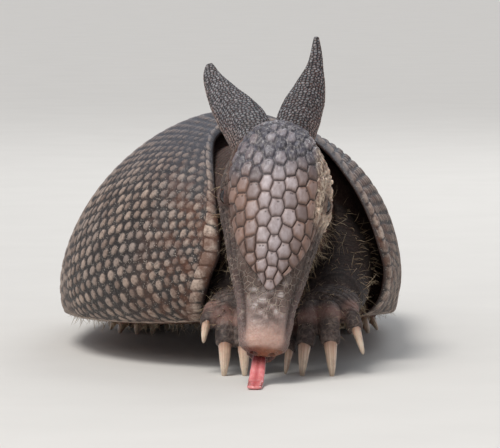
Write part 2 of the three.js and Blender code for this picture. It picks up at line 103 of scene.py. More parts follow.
def chance(cell, seed):
    """A repeatable number from 0 to 1 for each set of whole numbers along the last axis."""
    primes = (374761393, 668265263, 2147483647)
    mixed = seed * 974634777
    for k in range(cell.shape[-1]):
        mixed = mixed + cell[..., k] * primes[k]
    mixed = mixed & 0xFFFFFFFF
    mixed = ((mixed ^ (mixed >> 13)) * 1274126177) & 0xFFFFFFFF
    return ((mixed ^ (mixed >> 16)) & 0xFFFFFF) / 0xFFFFFF


def noise(points, size, seed=0):
    """Smooth noise from -1 to 1, with lumps about `size` across. The last axis holds each point's place."""
    place = points / size
    cell = np.floor(place).astype(np.int64)
    share = place - cell
    share = share * share * (3 - 2 * share)
    total = 0
    for corner in np.ndindex((2,) * points.shape[-1]):
        weight = np.prod(np.where(corner, share, 1 - share), axis=-1)
        total = total + weight * chance(cell + corner, seed)
    return 2 * total - 1


def cells(points, size, seed=0):
    """Irregular cells: each point's distance to the border of its cell, and a number for the cell."""
    place = points / size
    base = np.floor(place).astype(np.int64)
    near = np.full(points.shape[:-1], np.inf)
    second = near.copy()
    number = np.zeros(near.shape)
    for step in np.ndindex((3,) * points.shape[-1]):
        cell = base + step - 1
        middle = [cell[..., k] + 0.15 + 0.7 * chance(cell, seed + k) for k in range(cell.shape[-1])]
        away = np.linalg.norm(place - np.stack(middle, axis=-1), axis=-1)
        closer = away < near
        second = np.where(closer, near, np.minimum(second, away))
        number = np.where(closer, chance(cell, seed + 7), number)
        near = np.minimum(near, away)
    return (second - near) * size / 2, number


def numbered(cell, seed):
    """A repeatable number from 0 to 1 for each whole number."""
    return chance(cell[..., None].astype(np.int64), seed)


def spread(count, inset=0.02):
    """Shares of a length from 0 to 1, closer together toward both ends."""
    return (1 - np.cos(np.linspace(inset, math.pi - inset, count))) / 2


def evened(shares):
    """Shares moved halfway to an even spacing."""
    return 0.5 * shares + 0.5 * np.linspace(shares[0], shares[-1], len(shares))


def circle(count):
    """Evenly spaced angles of a full turn."""
    return np.linspace(0, 2 * math.pi, count, endpoint=False)


def unit(vectors):
    return vectors / np.maximum(np.linalg.norm(vectors, axis=-1, keepdims=True), 1e-12)


# ---------------------------------------------------------------- the shell's shape
PLATE = 3.5  # how thick a plate is
UNDER_SHELL = 1.4  # the space between a plate and the flesh
MARGIN = 120 * RAD  # the shell ends this far round from the middle of the back
SHELL_END = 296
BAND_COUNT = 9
BANDS_FROM = 90
BAND_PITCH = 9.8
BAND_STEP = 0.9  # how far a band's front edge lies under the plate ahead of it
GAP = 0.35  # between one plate and the next, and between the cap and the head

heading = curve([(0, 24), (30, 24), (70, 15), (110, 3), (160, -4), (290, -5)])
half_width = curve([
    (0, 44), (20, 57), (45, 70), (85, 79), (130, 81), (180, 79.5), (225, 75.5), (250, 70), (270, 60.5),
    (285, 48), (296, 33),
])
top_height = curve([
    (0, 93), (20, 103), (50, 110.5), (90, 113), (130, 111), (180, 106), (225, 99), (250, 93), (270, 84),
    (285, 72), (296, 58),
])
widest_level = curve([(0, 44), (45, 40), (85, 34), (130, 28), (180, 27), (240, 32), (296, 36)])
squareness = curve([(0, 1.6), (20, 1.7), (45, 1.92), (85, 1.8), (125, 1.72), (290, 1.85)])
curl_in = curve([(0, 0.3), (45, 0.24), (85, 0.12), (130, 0.03), (290, 0.03)])
margin_level = curve([(0, 25), (30, 20), (70, 17), (120, 15), (180, 15), (240, 18), (296, 25)])
front_edge = curve([
    (0, 58), (15, 50), (30, 33), (45, 17), (60, 6), (75, 1), (90, 3), (105, 10), (120, 20),
])
rear_edge = curve([(0, 287), (20, 292), (45, 295), (75, 289), (100, 273), (120, 252)])


def trace_spine():
    """The line under the middle of the back, seen from above, at each millimetre of the shell's length."""
    spots = np.arange(0, SHELL_END + 1.0)
    turn = heading(spots[:-1]) * RAD
    x = np.append(23, 23 - np.cumsum(np.sin(turn)))
    y = np.append(0, np.cumsum(np.cos(turn)))
    return spots, x, y


SPINE = trace_spine()


def spine_at(s):
    spots, x, y = SPINE
    return np.interp(s, spots, x), np.interp(s, spots, y), heading(s) * RAD


def shell_point(s, angle, depth=0.0):
    """A point of the shell, `depth` inside its outer face. The angle is 0 on the back, + to the left."""
    middle_x, middle_y, turn = spine_at(s)
    power = 2 / squareness(s)
    width = half_width(s) - depth
    level = widest_level(s)
    side = np.abs(angle)
    upper = np.minimum(side, math.pi / 2)
    across = width * np.sin(upper) ** power
    height = level + (top_height(s) - depth - level) * np.maximum(0, np.cos(upper)) ** power
    under = np.clip((side - math.pi / 2) / (MARGIN - math.pi / 2), 0, 1) * math.pi / 2
    across = across - width * curl_in(s) * (1 - np.cos(under))
    height = height - (level - margin_level(s)) * np.sin(under)
    across = across * np.sign(angle)
    return np.stack([middle_x + across * np.cos(turn), middle_y + across * np.sin(turn), height], axis=-1)


# ---------------------------------------------------------------- the head's shape
HEAD_TIP = np.array([5.5, -71, 12.5])
HEAD_PITCH = 62 * RAD
HEAD_LEAN = 4 * RAD
HEAD_ROLL = -5 * RAD
HEAD_LENGTH = 113
HEAD_CAPS = (5, 20)  # the lengths of its rounded ends
EYE_RADIUS = 4.4
EYE_AT = 71  # from the snout's tip
EYE_TURN = 70 * RAD
EYE_SINK = 2.4
JAW_OPEN = 5.5
JAW_LENGTH = 68


def turned(vector, axis, angle):
    return (
        vector * math.cos(angle)
        + np.cross(axis, vector) * math.sin(angle)
        + axis * (axis @ vector) * (1 - math.cos(angle))
    )


HEAD_BACK = np.array([
    math.sin(HEAD_LEAN),
    math.cos(HEAD_PITCH) * math.cos(HEAD_LEAN),
    math.sin(HEAD_PITCH) * math.cos(HEAD_LEAN),
])
HEAD_UP = turned(np.array([0, -math.sin(HEAD_PITCH), math.cos(HEAD_PITCH)]), HEAD_BACK, -HEAD_ROLL)
HEAD_LEFT = np.cross(HEAD_BACK, HEAD_UP)
HEAD_LEFT = HEAD_LEFT / np.linalg.norm(HEAD_LEFT)

head_wide = curve([
    (0, 10), (4, 11.1), (9, 11.7), (14, 12), (18, 12.7), (27.5, 14.5), (37, 17), (47, 19.2), (56, 21.2),
    (64, 23), (71, 24.2), (78, 24.5), (85, 23.6), (92, 21.4), (100, 19), (113, 15),
])
head_high = curve([
    (0, 6), (4, 7.4), (10, 8.6), (20, 9.3), (30, 11), (40, 13.7), (50, 16.6), (60, 19.6), (70, 22),
    (80, 23.6), (90, 24), (100, 22.5), (113, 17),
])
head_deep = curve([
    (0, 3.5), (10, 5.2), (20, 6.2), (30, 7.4), (45, 10), (60, 13.4), (75, 16.4), (90, 18), (113, 16),
])


def head_point(d, turn, out=0.0):
    """A point of the head, `out` above its skin and `d` from the snout's tip. The turn is 0 on top."""
    d, turn = np.broadcast_arrays(np.asarray(d, float), turn)
    size = rounded(d, HEAD_CAPS[0]) * rounded(HEAD_LENGTH - d, HEAD_CAPS[1])
    lift = np.cos(turn)
    tall = np.where(lift > 0, head_high(d), head_deep(d)) * size + out
    return (
        HEAD_TIP
        + d[..., None] * HEAD_BACK
        + (np.sin(turn) * (head_wide(d) * size + out))[..., None] * HEAD_LEFT
        + (lift * tall)[..., None] * HEAD_UP
    )


def eye_middle(side):
    return head_point(EYE_AT, SIDES[side] * EYE_TURN, -EYE_SINK)


def frame_shift():
    """Where the sketch frame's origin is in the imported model, found from the place of an eye."""
    low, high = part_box("eye_left")
    return np.array((low + high) / 2) - eye_middle("left") / 1000


SHIFT = frame_shift()


def metres(points):
    return np.asarray(points, float) / 1000 + SHIFT


# ---------------------------------------------------------------- meshes
COARSE = 6  # the hidden side of a plate has this many times fewer points each way


def linked(name, data):
    """A new object of the scene."""
    item = bpy.data.objects.new(name, data)
    bpy.context.scene.collection.objects.link(item)
    return item


def dress(mesh, material, fields):
    """Gives a mesh smooth shading, its material, and the fields that the material reads."""
    for field, values in fields.items():
        layer = mesh.attributes.new(field, "FLOAT", "POINT")
        layer.data.foreach_set("value", np.asarray(values, np.float32).ravel())
    mesh.polygons.foreach_set("use_smooth", [True] * len(mesh.polygons))
    mesh.materials.clear()
    mesh.materials.append(material)
    mesh.update()


def mesh_object(name, points, faces, material=None, fields=None):
    """An object from points in millimetres."""
    mesh = bpy.data.meshes.new(name)
    mesh.from_pydata(metres(points), [], faces)
    dress(mesh, material, fields or {})
    return linked(name, mesh)


def placed(item, slot, *nodes):
    """Puts a piece on the body and hides the solids that it stands for. The slot is not used."""
    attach(item, "root")
    if nodes:
        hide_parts(*nodes)
    return item


def tube_faces(rings, spokes):
    """Quads between rings of points, with one face over each end, all facing out."""
    faces = []
    for i in range(rings - 1):
        for j in range(spokes):
            a = i * spokes + j
            b = i * spokes + (j + 1) % spokes
            faces.append((a, b, b + spokes, a + spokes))
    faces.append(tuple(reversed(range(spokes))))
    faces.append(tuple(range((rings - 1) * spokes, rings * spokes)))
    return faces


def facing_out(points, faces):
    """The faces, turned over if they enclose a negative volume."""
    corners = np.array([face[:3] for face in faces[:: max(1, len(faces) // 4000)]])
    first, second, third = (points[corners[:, k]] for k in range(3))
    volume = ((first - points.mean(0)) * np.cross(second - first, third - first)).sum()
    return faces if volume > 0 else [tuple(reversed(face)) for face in faces]


def closed_sheet(outer, inner):
    """Points and faces of a plate with a fine outer grid, a coarse inner one and a rim between them."""
    top = np.arange(outer[..., 0].size).reshape(outer.shape[:2])
    under = np.arange(inner[..., 0].size).reshape(inner.shape[:2]) + top.size
    front = np.stack([top[:-1, :-1], top[:-1, 1:], top[1:, 1:], top[1:, :-1]], axis=-1)
    back = np.stack([under[:-1, :-1], under[1:, :-1], under[1:, 1:], under[:-1, 1:]], axis=-1)
    faces = front.reshape(-1, 4).tolist() + back.reshape(-1, 4).tolist()
    many, few = border(top), border(under)
    for i in range(len(few) - 1):
        fine_side = many[i * COARSE:(i + 1) * COARSE + 1]
        faces.append(fine_side[::-1] + [few[i], few[i + 1]])
    return np.concatenate([outer.reshape(-1, 3), inner.reshape(-1, 3)]), faces


def sheet_object(name, outer, inner, material, fields):
    """A plate from its two grids. The fields are the outer one's, and `inside` is 1 on the inner one."""
    points, faces = closed_sheet(outer, inner)
    hidden = inner[..., 0].size
    fields = {key: np.append(values, np.zeros(hidden)) for key, values in fields.items()}
    fields["inside"] = np.append(np.zeros(len(points) - hidden), np.ones(hidden))
    return mesh_object(name, points, facing_out(points, faces), material, fields)


def border(index):
    """The indices round a grid's edge, back to the start."""
    edges = [index[0, :-1], index[:-1, -1], index[-1, :0:-1], index[:0:-1, 0], index[0, :1]]
    return np.concatenate(edges).tolist()


def path_through(spots, count=401):
    """A smooth path through points: its points, evenly spaced, and its length."""
    spots = np.asarray(spots, float)
    ends = [2 * spots[0] - spots[1], *spots, 2 * spots[-1] - spots[-2]]
    steps = []
    for before, start, end, after in zip(ends, ends[1:], ends[2:], ends[3:]):
        pairs = ((before, start), (start, end), (end, after))
        one, two, three = (math.sqrt(np.linalg.norm(b - a)) for a, b in pairs)
        first = (start - before) / one - (end - before) / (one + two) + (end - start) / two
        last = (end - start) / two - (after - start) / (two + three) + (after - end) / three
        first, last = first * two, last * two
        t = np.linspace(0, 1, 60, endpoint=False)[:, None]
        steps.append(
            start + first * t + (3 * (end - start) - 2 * first - last) * t**2
            + (2 * (start - end) + first + last) * t**3
        )
    line = np.concatenate([*steps, spots[-1:]])
    walked = np.append(0, np.cumsum(np.linalg.norm(np.diff(line, axis=0), axis=1)))
    even = np.linspace(0, walked[-1], count)
    return np.stack([np.interp(even, walked, line[:, k]) for k in range(3)], axis=-1), walked[-1]


def on_path(path, t):
    """The place and the direction at shares t of a path's length."""
    share = np.clip(t, 0, 1) * (len(path) - 1)
    i = np.minimum(share.astype(int), len(path) - 2)
    past = (share - i)[..., None]
    ahead = unit(np.gradient(path, axis=0))
    return path[i] * (1 - past) + path[i + 1] * past, unit(ahead[i] * (1 - past) + ahead[i + 1] * past)


def loft(shape, grow=0.0, rings=60, spokes=48, relief=None):
    """A closed body along a path, from its half width, its height above the path and its depth below it."""
    path, length = path_through(shape["points"])
    wide = curve(shape["wide"])
    high = curve(shape.get("high", shape["wide"]))
    deep = curve(shape.get("deep", shape.get("high", shape["wide"])))
    caps = shape["caps"]
    along = evened(spread(rings)) * (length + 2 * grow) - grow
    t = np.clip(along / length, 0, 1)
    middle, ahead = on_path(path, t)
    middle = middle + ahead * (along - t * length)[:, None]
    side = unit(np.cross(ahead, np.array(shape["up"], float)))
    top = np.cross(side, ahead)
    size = rounded(along + grow, caps[0] + grow) * rounded(length + grow - along, caps[1] + grow)
    turn = circle(spokes)
    out = grow if relief is None else grow + relief(along[:, None], turn[None, :], length)
    across = np.cos(turn) * (wide(t)[:, None] + out) * size[:, None]
    lift = np.sin(turn) * size[:, None]
    tall = np.where(lift > 0, high(t)[:, None], deep(t)[:, None]) + out
    points = middle[:, None] + across[..., None] * side[:, None] + (lift * tall)[..., None] * top[:, None]
    points = points.reshape(-1, 3)
    if shape.get("on_floor"):
        points[:, 2] = np.maximum(points[:, 2], 0)
    return points, facing_out(points, tube_faces(rings, spokes))


# ---------------------------------------------------------------- materials
TINY_SCALE = 0.95  # the size of the tiny scales that the shell's ground and the bare skin are grained with


class Finish:
    """A procedural material, built node by node."""

    def __init__(self, name):
        self.material = bpy.data.materials.new(name)
        self.material.use_nodes = True
        self.nodes = self.material.node_tree.nodes
        self.links = self.material.node_tree.links
        self.shader = self.nodes["Principled BSDF"]
        self.place = self.nodes.new("ShaderNodeTexCoord").outputs["Object"]

    def feed(self, socket, value):
        if isinstance(value, bpy.types.NodeSocket):
            self.links.new(value, socket)
        elif isinstance(value, tuple) and len(value) == 3 and len(socket.default_value) == 4:
            socket.default_value = (*value, 1)
        else:
            socket.default_value = value

    def field(self, name, output="Fac"):
        node = self.nodes.new("ShaderNodeAttribute")
        node.attribute_name = name
        return node.outputs[output]

    def math(self, operation, first, second):
        node = self.nodes.new("ShaderNodeMath")
        node.operation = operation
        self.feed(node.inputs[0], first)
        self.feed(node.inputs[1], second)
        return node.outputs[0]

    def times(self, first, second):
        return self.math("MULTIPLY", first, second)

    def rest(self, share):
        """1 less a share."""
        return self.math("SUBTRACT", 1.0, share)

    def mix(self, share, first, second, blend="MIX"):
        node = self.nodes.new("ShaderNodeMix")
        node.data_type = "RGBA"
        node.blend_type = blend
        self.feed(node.inputs["Factor"], share)
        self.feed(node.inputs[6], first)
        self.feed(node.inputs[7], second)
        return node.outputs[2]

    def noise(self, size, detail=4.0, rough=0.55, stretch=None):
        """Noise from 0 to 1 with lumps about `size` millimetres across, longer if `stretch` is under 1."""
        node = self.nodes.new("ShaderNodeTexNoise")
        node.inputs["Scale"].default_value = 1000 / size
        node.inputs["Detail"].default_value = detail
        node.inputs["Roughness"].default_value = rough
        place = self.place
        if stretch is not None:
            change = self.nodes.new("ShaderNodeMapping")
            change.inputs["Scale"].default_value = stretch
            self.links.new(place, change.inputs["Vector"])
            place = change.outputs["Vector"]
        self.links.new(place, node.inputs["Vector"])
        return node.outputs["Fac"]

    def cells(self, size, feature="F1"):
        """The distance to the middle of irregular cells, or to their edge."""
        node = self.nodes.new("ShaderNodeTexVoronoi")
        node.feature = feature
        node.inputs["Scale"].default_value = 1000 / size
        self.links.new(self.place, node.inputs["Vector"])
        return node.outputs["Distance"]

    def ramp(self, value, *stops):
        """A value turned into the levels or colours of its stops."""
        node = self.nodes.new("ShaderNodeValToRGB")
        ramp = node.color_ramp
        while len(ramp.elements) < len(stops):
            ramp.elements.new(0.5)
        for element, (at, level) in zip(ramp.elements, stops):
            element.position = at
            element.color = (level, level, level, 1) if isinstance(level, (int, float)) else (*level, 1)
        self.links.new(value, node.inputs["Fac"])
        return node.outputs["Color"]

    def bump(self, height, depth, before=None):
        """Bump whose height of 1 is `depth` millimetres."""
        node = self.nodes.new("ShaderNodeBump")
        node.inputs["Distance"].default_value = depth / 1000
        self.links.new(height, node.inputs["Height"])
        if before is not None:
            self.links.new(before, node.inputs["Normal"])
        return node.outputs["Normal"]

    def finish(self, colour, rough, normal=None, **constants):
        self.feed(self.shader.inputs["Base Color"], colour)
        self.feed(self.shader.inputs["Roughness"], rough)
        if normal is not None:
            self.links.new(normal, self.shader.inputs["Normal"])
        for name, value in constants.items():
            self.shader.inputs[name.replace("_", " ")].default_value = value
        return self.material


def paint(red, green, blue):
    """A colour from its red, green and blue as a screen shows them, from 0 to 255."""
    def linear(level):
        share = level / 255
        return share / 12.92 if share <= 0.04045 else ((share + 0.055) / 1.055) ** 2.4
    return linear(red), linear(green), linear(blue)


def shell_finish():
    """Pale worn scutes on dark skin full of tiny scales, with a painted bluish sky reflection on the back,
    earthy at the front.
    """
    f = Finish("shell")
    scute, tone = f.field("scute"), f.field("tone")
    small = f.cells(TINY_SCALE)
    grit = f.ramp(small, (0.16, 1), (0.4, 0))
    speck = f.times(grit, f.ramp(f.noise(3, 3), (0.42, 0), (0.6, 1)))
    wear = f.noise(1.3, 5, 0.65)
    ground = f.mix(f.ramp(f.noise(16, 3), (0.3, 0), (0.7, 1)), paint(32, 27, 26), paint(55, 48, 46))
    ground = f.mix(f.times(speck, 0.8), ground, paint(168, 158, 148))
    face = f.mix(tone, paint(126, 107, 96), paint(188, 167, 152))
    face = f.mix(f.ramp(wear, (0.45, 0), (0.75, 1)), face, paint(100, 86, 77))
    face = f.mix(f.ramp(f.noise(22, 2), (0.45, 0), (0.7, 0.6)), face, paint(134, 124, 119))
    colour = f.mix(scute, ground, face)
    soil = f.times(f.field("dirt"), f.ramp(f.noise(7, 5, 0.65), (0.44, 0), (0.6, 1)))
    colour = f.mix(f.times(soil, 0.75), colour, paint(92, 56, 38))
    # Painted reflection: patchy bluish grey on the top of the back stands for the sky reflected there.
    sky_sheen = f.times(f.field("crest"), f.ramp(f.noise(5, 4, 0.6), (0.3, 0.4), (0.7, 0.88)))
    colour = f.mix(sky_sheen, colour, paint(80, 82, 91))
    # Painted shade: the hidden inner face of each plate is a near-black red-brown.
    colour = f.mix(f.field("inside"), colour, f.mix(f.noise(8), paint(34, 20, 17), paint(64, 40, 33)))
    rough = f.math("ADD", f.times(wear, 0.25), 0.42)
    normal = f.bump(f.rest(small), 0.16)
    normal = f.bump(f.noise(0.55, 3, 0.7), 0.09, normal)
    return f.finish(colour, rough, normal, Specular_IOR_Level=0.42)


# ---------------------------------------------------------------- the shell
SCUTE_ACROSS = 5.6  # from column to column of scutes, round the body
SCUTE_ALONG = 5.0  # from scute to scute in a column, along the body
SCUTE_HALF = (2.1, 1.5)  # half a scute's width and length
EDGE_SCUTE = 6.3  # from scute to scute of the row at a shield's free edge
EDGE_CORNER = 1.5
BAND_SCUTE = 6.2
FINE = 0.62  # from point to point on the shown side of a plate


ARC_STEP = 4.0
ARC_COUNT = 120


def arc_table():
    """Millimetres round the shell from the middle of the back, for rows of s and columns of angles."""
    s = np.arange(0, SHELL_END + 1, ARC_STEP)
    angle = np.linspace(0, MARGIN, ARC_COUNT + 1)
    grid = shell_point(s[:, None], angle[None, :])
    steps = np.linalg.norm(np.diff(grid, axis=1), axis=2)
    return np.concatenate([np.zeros((len(s), 1)), np.cumsum(steps, axis=1)], axis=1)


ARCS = arc_table()


def arc_at(s, angle):
    """Millimetres round the shell from the middle of the back, + to the left."""
    i = np.clip(s / ARC_STEP, 0, len(ARCS) - 1.001)
    j = np.clip(np.abs(angle) / MARGIN * ARC_COUNT, 0, ARC_COUNT - 0.001)
    low_i, low_j = i.astype(int), j.astype(int)
    u, v = i - low_i, j - low_j
    near = ARCS[low_i, low_j] * (1 - v) + ARCS[low_i, low_j + 1] * v
    far = ARCS[low_i + 1, low_j] * (1 - v) + ARCS[low_i + 1, low_j + 1] * v
    return np.sign(angle) * (near * (1 - u) + far * u)


def lattice(across, along, seed):
    """Staggered columns of scutes: the way to the nearest middle, the distance to the border, a number."""
    near = np.full(across.shape, np.inf)
    second = near.copy()
    number, du, dv = (np.zeros(near.shape) for _ in range(3))
    column_base = np.floor(across / SCUTE_ACROSS).astype(np.int64)
    for column_step in (-1, 0, 1, 2):
        column = column_base + column_step
        stagger = 0.5 * (column % 2)
        row_base = np.floor(along / SCUTE_ALONG - stagger).astype(np.int64)
        for row_step in (0, 1):
            row = row_base + row_step
            cell = np.stack([column, row], axis=-1)
            jitter = [(chance(cell, seed + k) - 0.5) * 0.9 for k in (0, 1)]
            x = across - column * SCUTE_ACROSS - jitter[0]
            y = along - (row + stagger) * SCUTE_ALONG - jitter[1]
            away = np.hypot(x, y)
            closer = away < near
            second = np.where(closer, near, np.minimum(second, away))
            du, dv = np.where(closer, x, du), np.where(closer, y, dv)
            number = np.where(closer, chance(cell, seed + 2), number)
            near = np.minimum(near, away)
    return du, dv, (second - near) / 2, number


def field_scutes(angle, reference, slant, row_place, seed):
    """Relief and the scute and tone fields of round scutes on skin full of tiny scales."""
    across = arc_at(np.full(angle.shape, float(reference)), angle)
    spots = np.stack([across, row_place], axis=-1)
    climb = slant * row_place * ease(np.abs(across), 0, 60) * np.sign(across)
    du, dv, border, number = lattice(across - climb, row_place, seed)
    size = (0.88 + 0.26 * number) * (0.74 + 0.26 * ease(np.abs(across), 22, 62))
    lean = -np.sign(across) * (0.22 - 0.5 * ease(np.abs(across), 88, 128))
    oval = np.hypot((du + lean * dv) / SCUTE_HALF[0], dv / SCUTE_HALF[1]) / size
    oval = oval + 0.1 * noise(spots, 1.3, seed)
    scute = ease(oval, 1.1, 0.82)
    dome = np.sqrt(np.clip(1 - 0.75 * np.minimum(oval, 1) ** 2, 0, 1))
    gap, _ = cells(spots, 1.75, seed)
    pebble = ease(gap, 0, 0.4)
    relief = scute * (0.42 + 0.34 * dome) + (1 - scute) * 0.24 * pebble
    return relief - 0.16 * np.exp(-((border / 0.3) ** 2)), scute, 0.72 * number


def edge_scutes(edge, edge_place, edge_width, seed, field):
    """The relief, scute and tone of a shield's field with a row of blocky scutes at its free edge."""
    relief, scute, tone = field
    place = edge_place / EDGE_SCUTE
    cell = np.floor(place)
    number = numbered(cell, seed)
    reach = edge_width * (0.9 + 0.2 * number)
    half = np.stack([np.full(edge.shape, EDGE_SCUTE / 2), reach / 2])
    aside = np.abs(np.stack([(place - cell - 0.5) * EDGE_SCUTE, edge - reach / 2]))
    corner = aside - half + EDGE_CORNER
    rim = EDGE_CORNER - np.hypot(*np.maximum(corner, 0)) - np.minimum(corner.max(axis=0), 0)
    block = ease(rim, 0.16, 0.6)
    dome = (1 - (aside[0] / half[0]) ** 2) * (1 - (aside[1] / half[1]) ** 2)
    inside = edge < reach
    past = edge - reach
    relief = np.where(inside, block * (0.55 + 0.1 * number) + 0.35 * dome, relief * ease(past, 0, 0.5))
    scute = np.where(inside, block, scute * ease(past, 0, 0.4))
    tone = np.where(inside, 0.75 + 0.25 * number, tone)
    return relief - 0.5, scute, tone


def softened(distance, reach):
    """How far an edge is rounded off, at a distance from it."""
    t = np.clip(1 - distance / reach, 0, 1)
    return reach * (1 - np.sqrt(1 - t**2))


def edge_s(edge, angle):
    """The s of a plate's edge at an angle. The edge is a curve over degrees, or a number."""
    return edge(np.abs(angle) / RAD) if callable(edge) else np.full(np.shape(angle), float(edge))


def plate_grid(front, rear, rows, reference):
    """The s and angle of a fine grid between two edges of a plate, evenly spaced round it at one s."""
    angles = np.linspace(0, MARGIN, 241)
    arcs = arc_at(np.full(angles.shape, float(reference)), angles)
    across = np.linspace(-1, 1, COARSE * round(arcs[-1] * 2 / FINE / COARSE) + 1)
    angle = np.interp(np.abs(across) * arcs[-1], arcs, angles) * np.sign(across)
    back = np.linspace(0, 1, COARSE * round(rows / FINE / COARSE) + 1)[:, None]
    s = edge_s(front, angle) + (edge_s(rear, angle) - edge_s(front, angle)) * back
    return s, np.broadcast_to(angle, s.shape), np.broadcast_to(back, s.shape)


def plate(name, s, angle, depth, scute, tone, dirt, finish):
    """A plate of the shell from its grid, the depth of its outer face, and the marks of that face."""
    outer = shell_point(s, angle, depth)
    inner = shell_point(s[::COARSE, ::COARSE], angle[::COARSE, ::COARSE], PLATE)
    # crest marks the top of the back, where the painted sky reflection goes.
    fields = {"scute": scute, "tone": tone, "crest": ease(np.abs(angle) / RAD, 62, 18), "dirt": dirt}
    placed(sheet_object(f"{name}_scutes", outer, inner, finish, fields), "shell", name)


def from_margin(s, angle):
    """How far a point of the shell is from the edge at its side."""
    return arc_at(s, np.full(s.shape, MARGIN)) - np.abs(arc_at(s, angle))


def edge_row(s, angle, edge, from_edge):
    """The distance in from a shield's free edge or side, the place along it, and whether it's the side."""
    grid = np.linspace(0, MARGIN, 241)
    points = shell_point(edge_s(edge, grid), grid)
    walked = np.append(0, np.cumsum(np.linalg.norm(np.diff(points, axis=0), axis=1)))
    along = np.sign(angle) * np.interp(np.abs(angle), grid, walked)
    margin = from_margin(s, angle)
    at_side = margin < from_edge
    return np.minimum(from_edge, margin), np.where(at_side, 400 + s, 200 + along), at_side


def scapular_shield(finish):
    s, angle, _ = plate_grid(front_edge, BANDS_FROM - GAP, 86, 60)
    degrees = np.abs(angle) / RAD
    across = np.abs(arc_at(s, angle))
    behind = (s - edge_s(front_edge, angle)) * 0.92
    edge, edge_place, at_side = edge_row(s, angle, front_edge, behind)
    edge_width = np.where(at_side, 5.0, 2.6 + 2.4 * ease(degrees, 42, 70))
    row_place = 1.14 * (s - BANDS_FROM) + 9 * ease(across, 28, 98) * ease(s, 88, 28)
    field = field_scutes(angle, 60, 0.24, row_place, 11)
    relief, scute, tone = edge_scutes(edge, edge_place, edge_width, 16, field)
    depth = softened(edge, 1.6) + softened(BANDS_FROM - s, 1.0) - relief
    dirt = ease(behind, 42, 6) * ease(degrees, 30, 55)
    plate("shield_scapular", s, angle, depth, scute, tone, dirt, finish)


def band(number, finish):
    """A band of long pointed scutes whose tips lie between the dark points of the skin."""
    start = BANDS_FROM + number * BAND_PITCH
    long = BAND_PITCH - GAP
    s, angle, back = plate_grid(start, start + long, long, 130)
    across = arc_at(s, angle)
    spots = np.stack([across, s], axis=-1)
    place = across / BAND_SCUTE + 0.5 * (number % 2) + 0.05 * noise(spots, 9, number)
    cell = np.floor(place)
    middle = np.abs(place - cell - 0.5)
    half = 0.07 + 0.36 * back
    tip = ease(half - middle, -0.02, 0.09) * ease(back, 0.04, 0.2)
    between = ease(middle, half + 0.02, half + 0.1) * ease(back, 0.99, 0.8)
    gap, _ = cells(spots, 1.5, 40 + number)
    pebble = ease(gap, 0, 0.35)
    relief = 0.55 * tip + 0.22 * between + 0.12 * pebble * (1 - tip) - 0.35
    margin = from_margin(s, angle)
    scute = np.maximum(tip * (0.62 + 0.38 * back), ease(margin, 7, 3) * 0.8)
    depth = BAND_STEP * (1 - back) + softened(start + long - s, 1.1) + softened(margin, 1.6) - relief
    dirt = 0.35 * ease(np.abs(angle) / RAD, 60, 100)
    plate(f"band_{number + 1}", s, angle, depth, scute, numbered(cell, 60 + number), dirt, finish)


def pelvic_shield(finish):
    start = BANDS_FROM + BAND_COUNT * BAND_PITCH
    s, angle, _ = plate_grid(start, rear_edge, 114, 215)
    edge, edge_place, _ = edge_row(s, angle, rear_edge, (edge_s(rear_edge, angle) - s) * 0.85)
    field = field_scutes(angle, 215, 0, s, 23)
    relief, scute, tone = edge_scutes(edge, edge_place, np.full(s.shape, 4.6), 28, field)
    depth = BAND_STEP * ease(s, start + 8, start) + softened(edge, 1.6) - relief
    dirt = 0.5 * ease(np.abs(angle) / RAD, 70, 110)
    plate("shield_pelvic", s, angle, depth, scute, tone, dirt, finish)


# ---------------------------------------------------------------- the cap of the head
CAP_FROM = 33  # along the head
CAP_TO = 106
CAP_THICK = 1.3
CAP_STRETCH = 1.5  # scutes are this much longer along the head than across it
cap_span = curve([(0, 18), (0.12, 42), (0.26, 55), (0.5, 59), (0.8, 60), (1, 48)])
scute_size = curve([(24, 3.4), (38, 4.3), (50, 4.9), (72, 5.2), (88, 4.7), (108, 3.9)])


def beside_cap(d, turn):
    """1 on the pale rough ridge along the left side of the head, above the eye, and 0 away from it."""
    degrees = turn / RAD
    return ease(degrees, 38, 50) * ease(degrees, 104, 90) * ease(d, 56, 66) * ease(d, 101, 88)


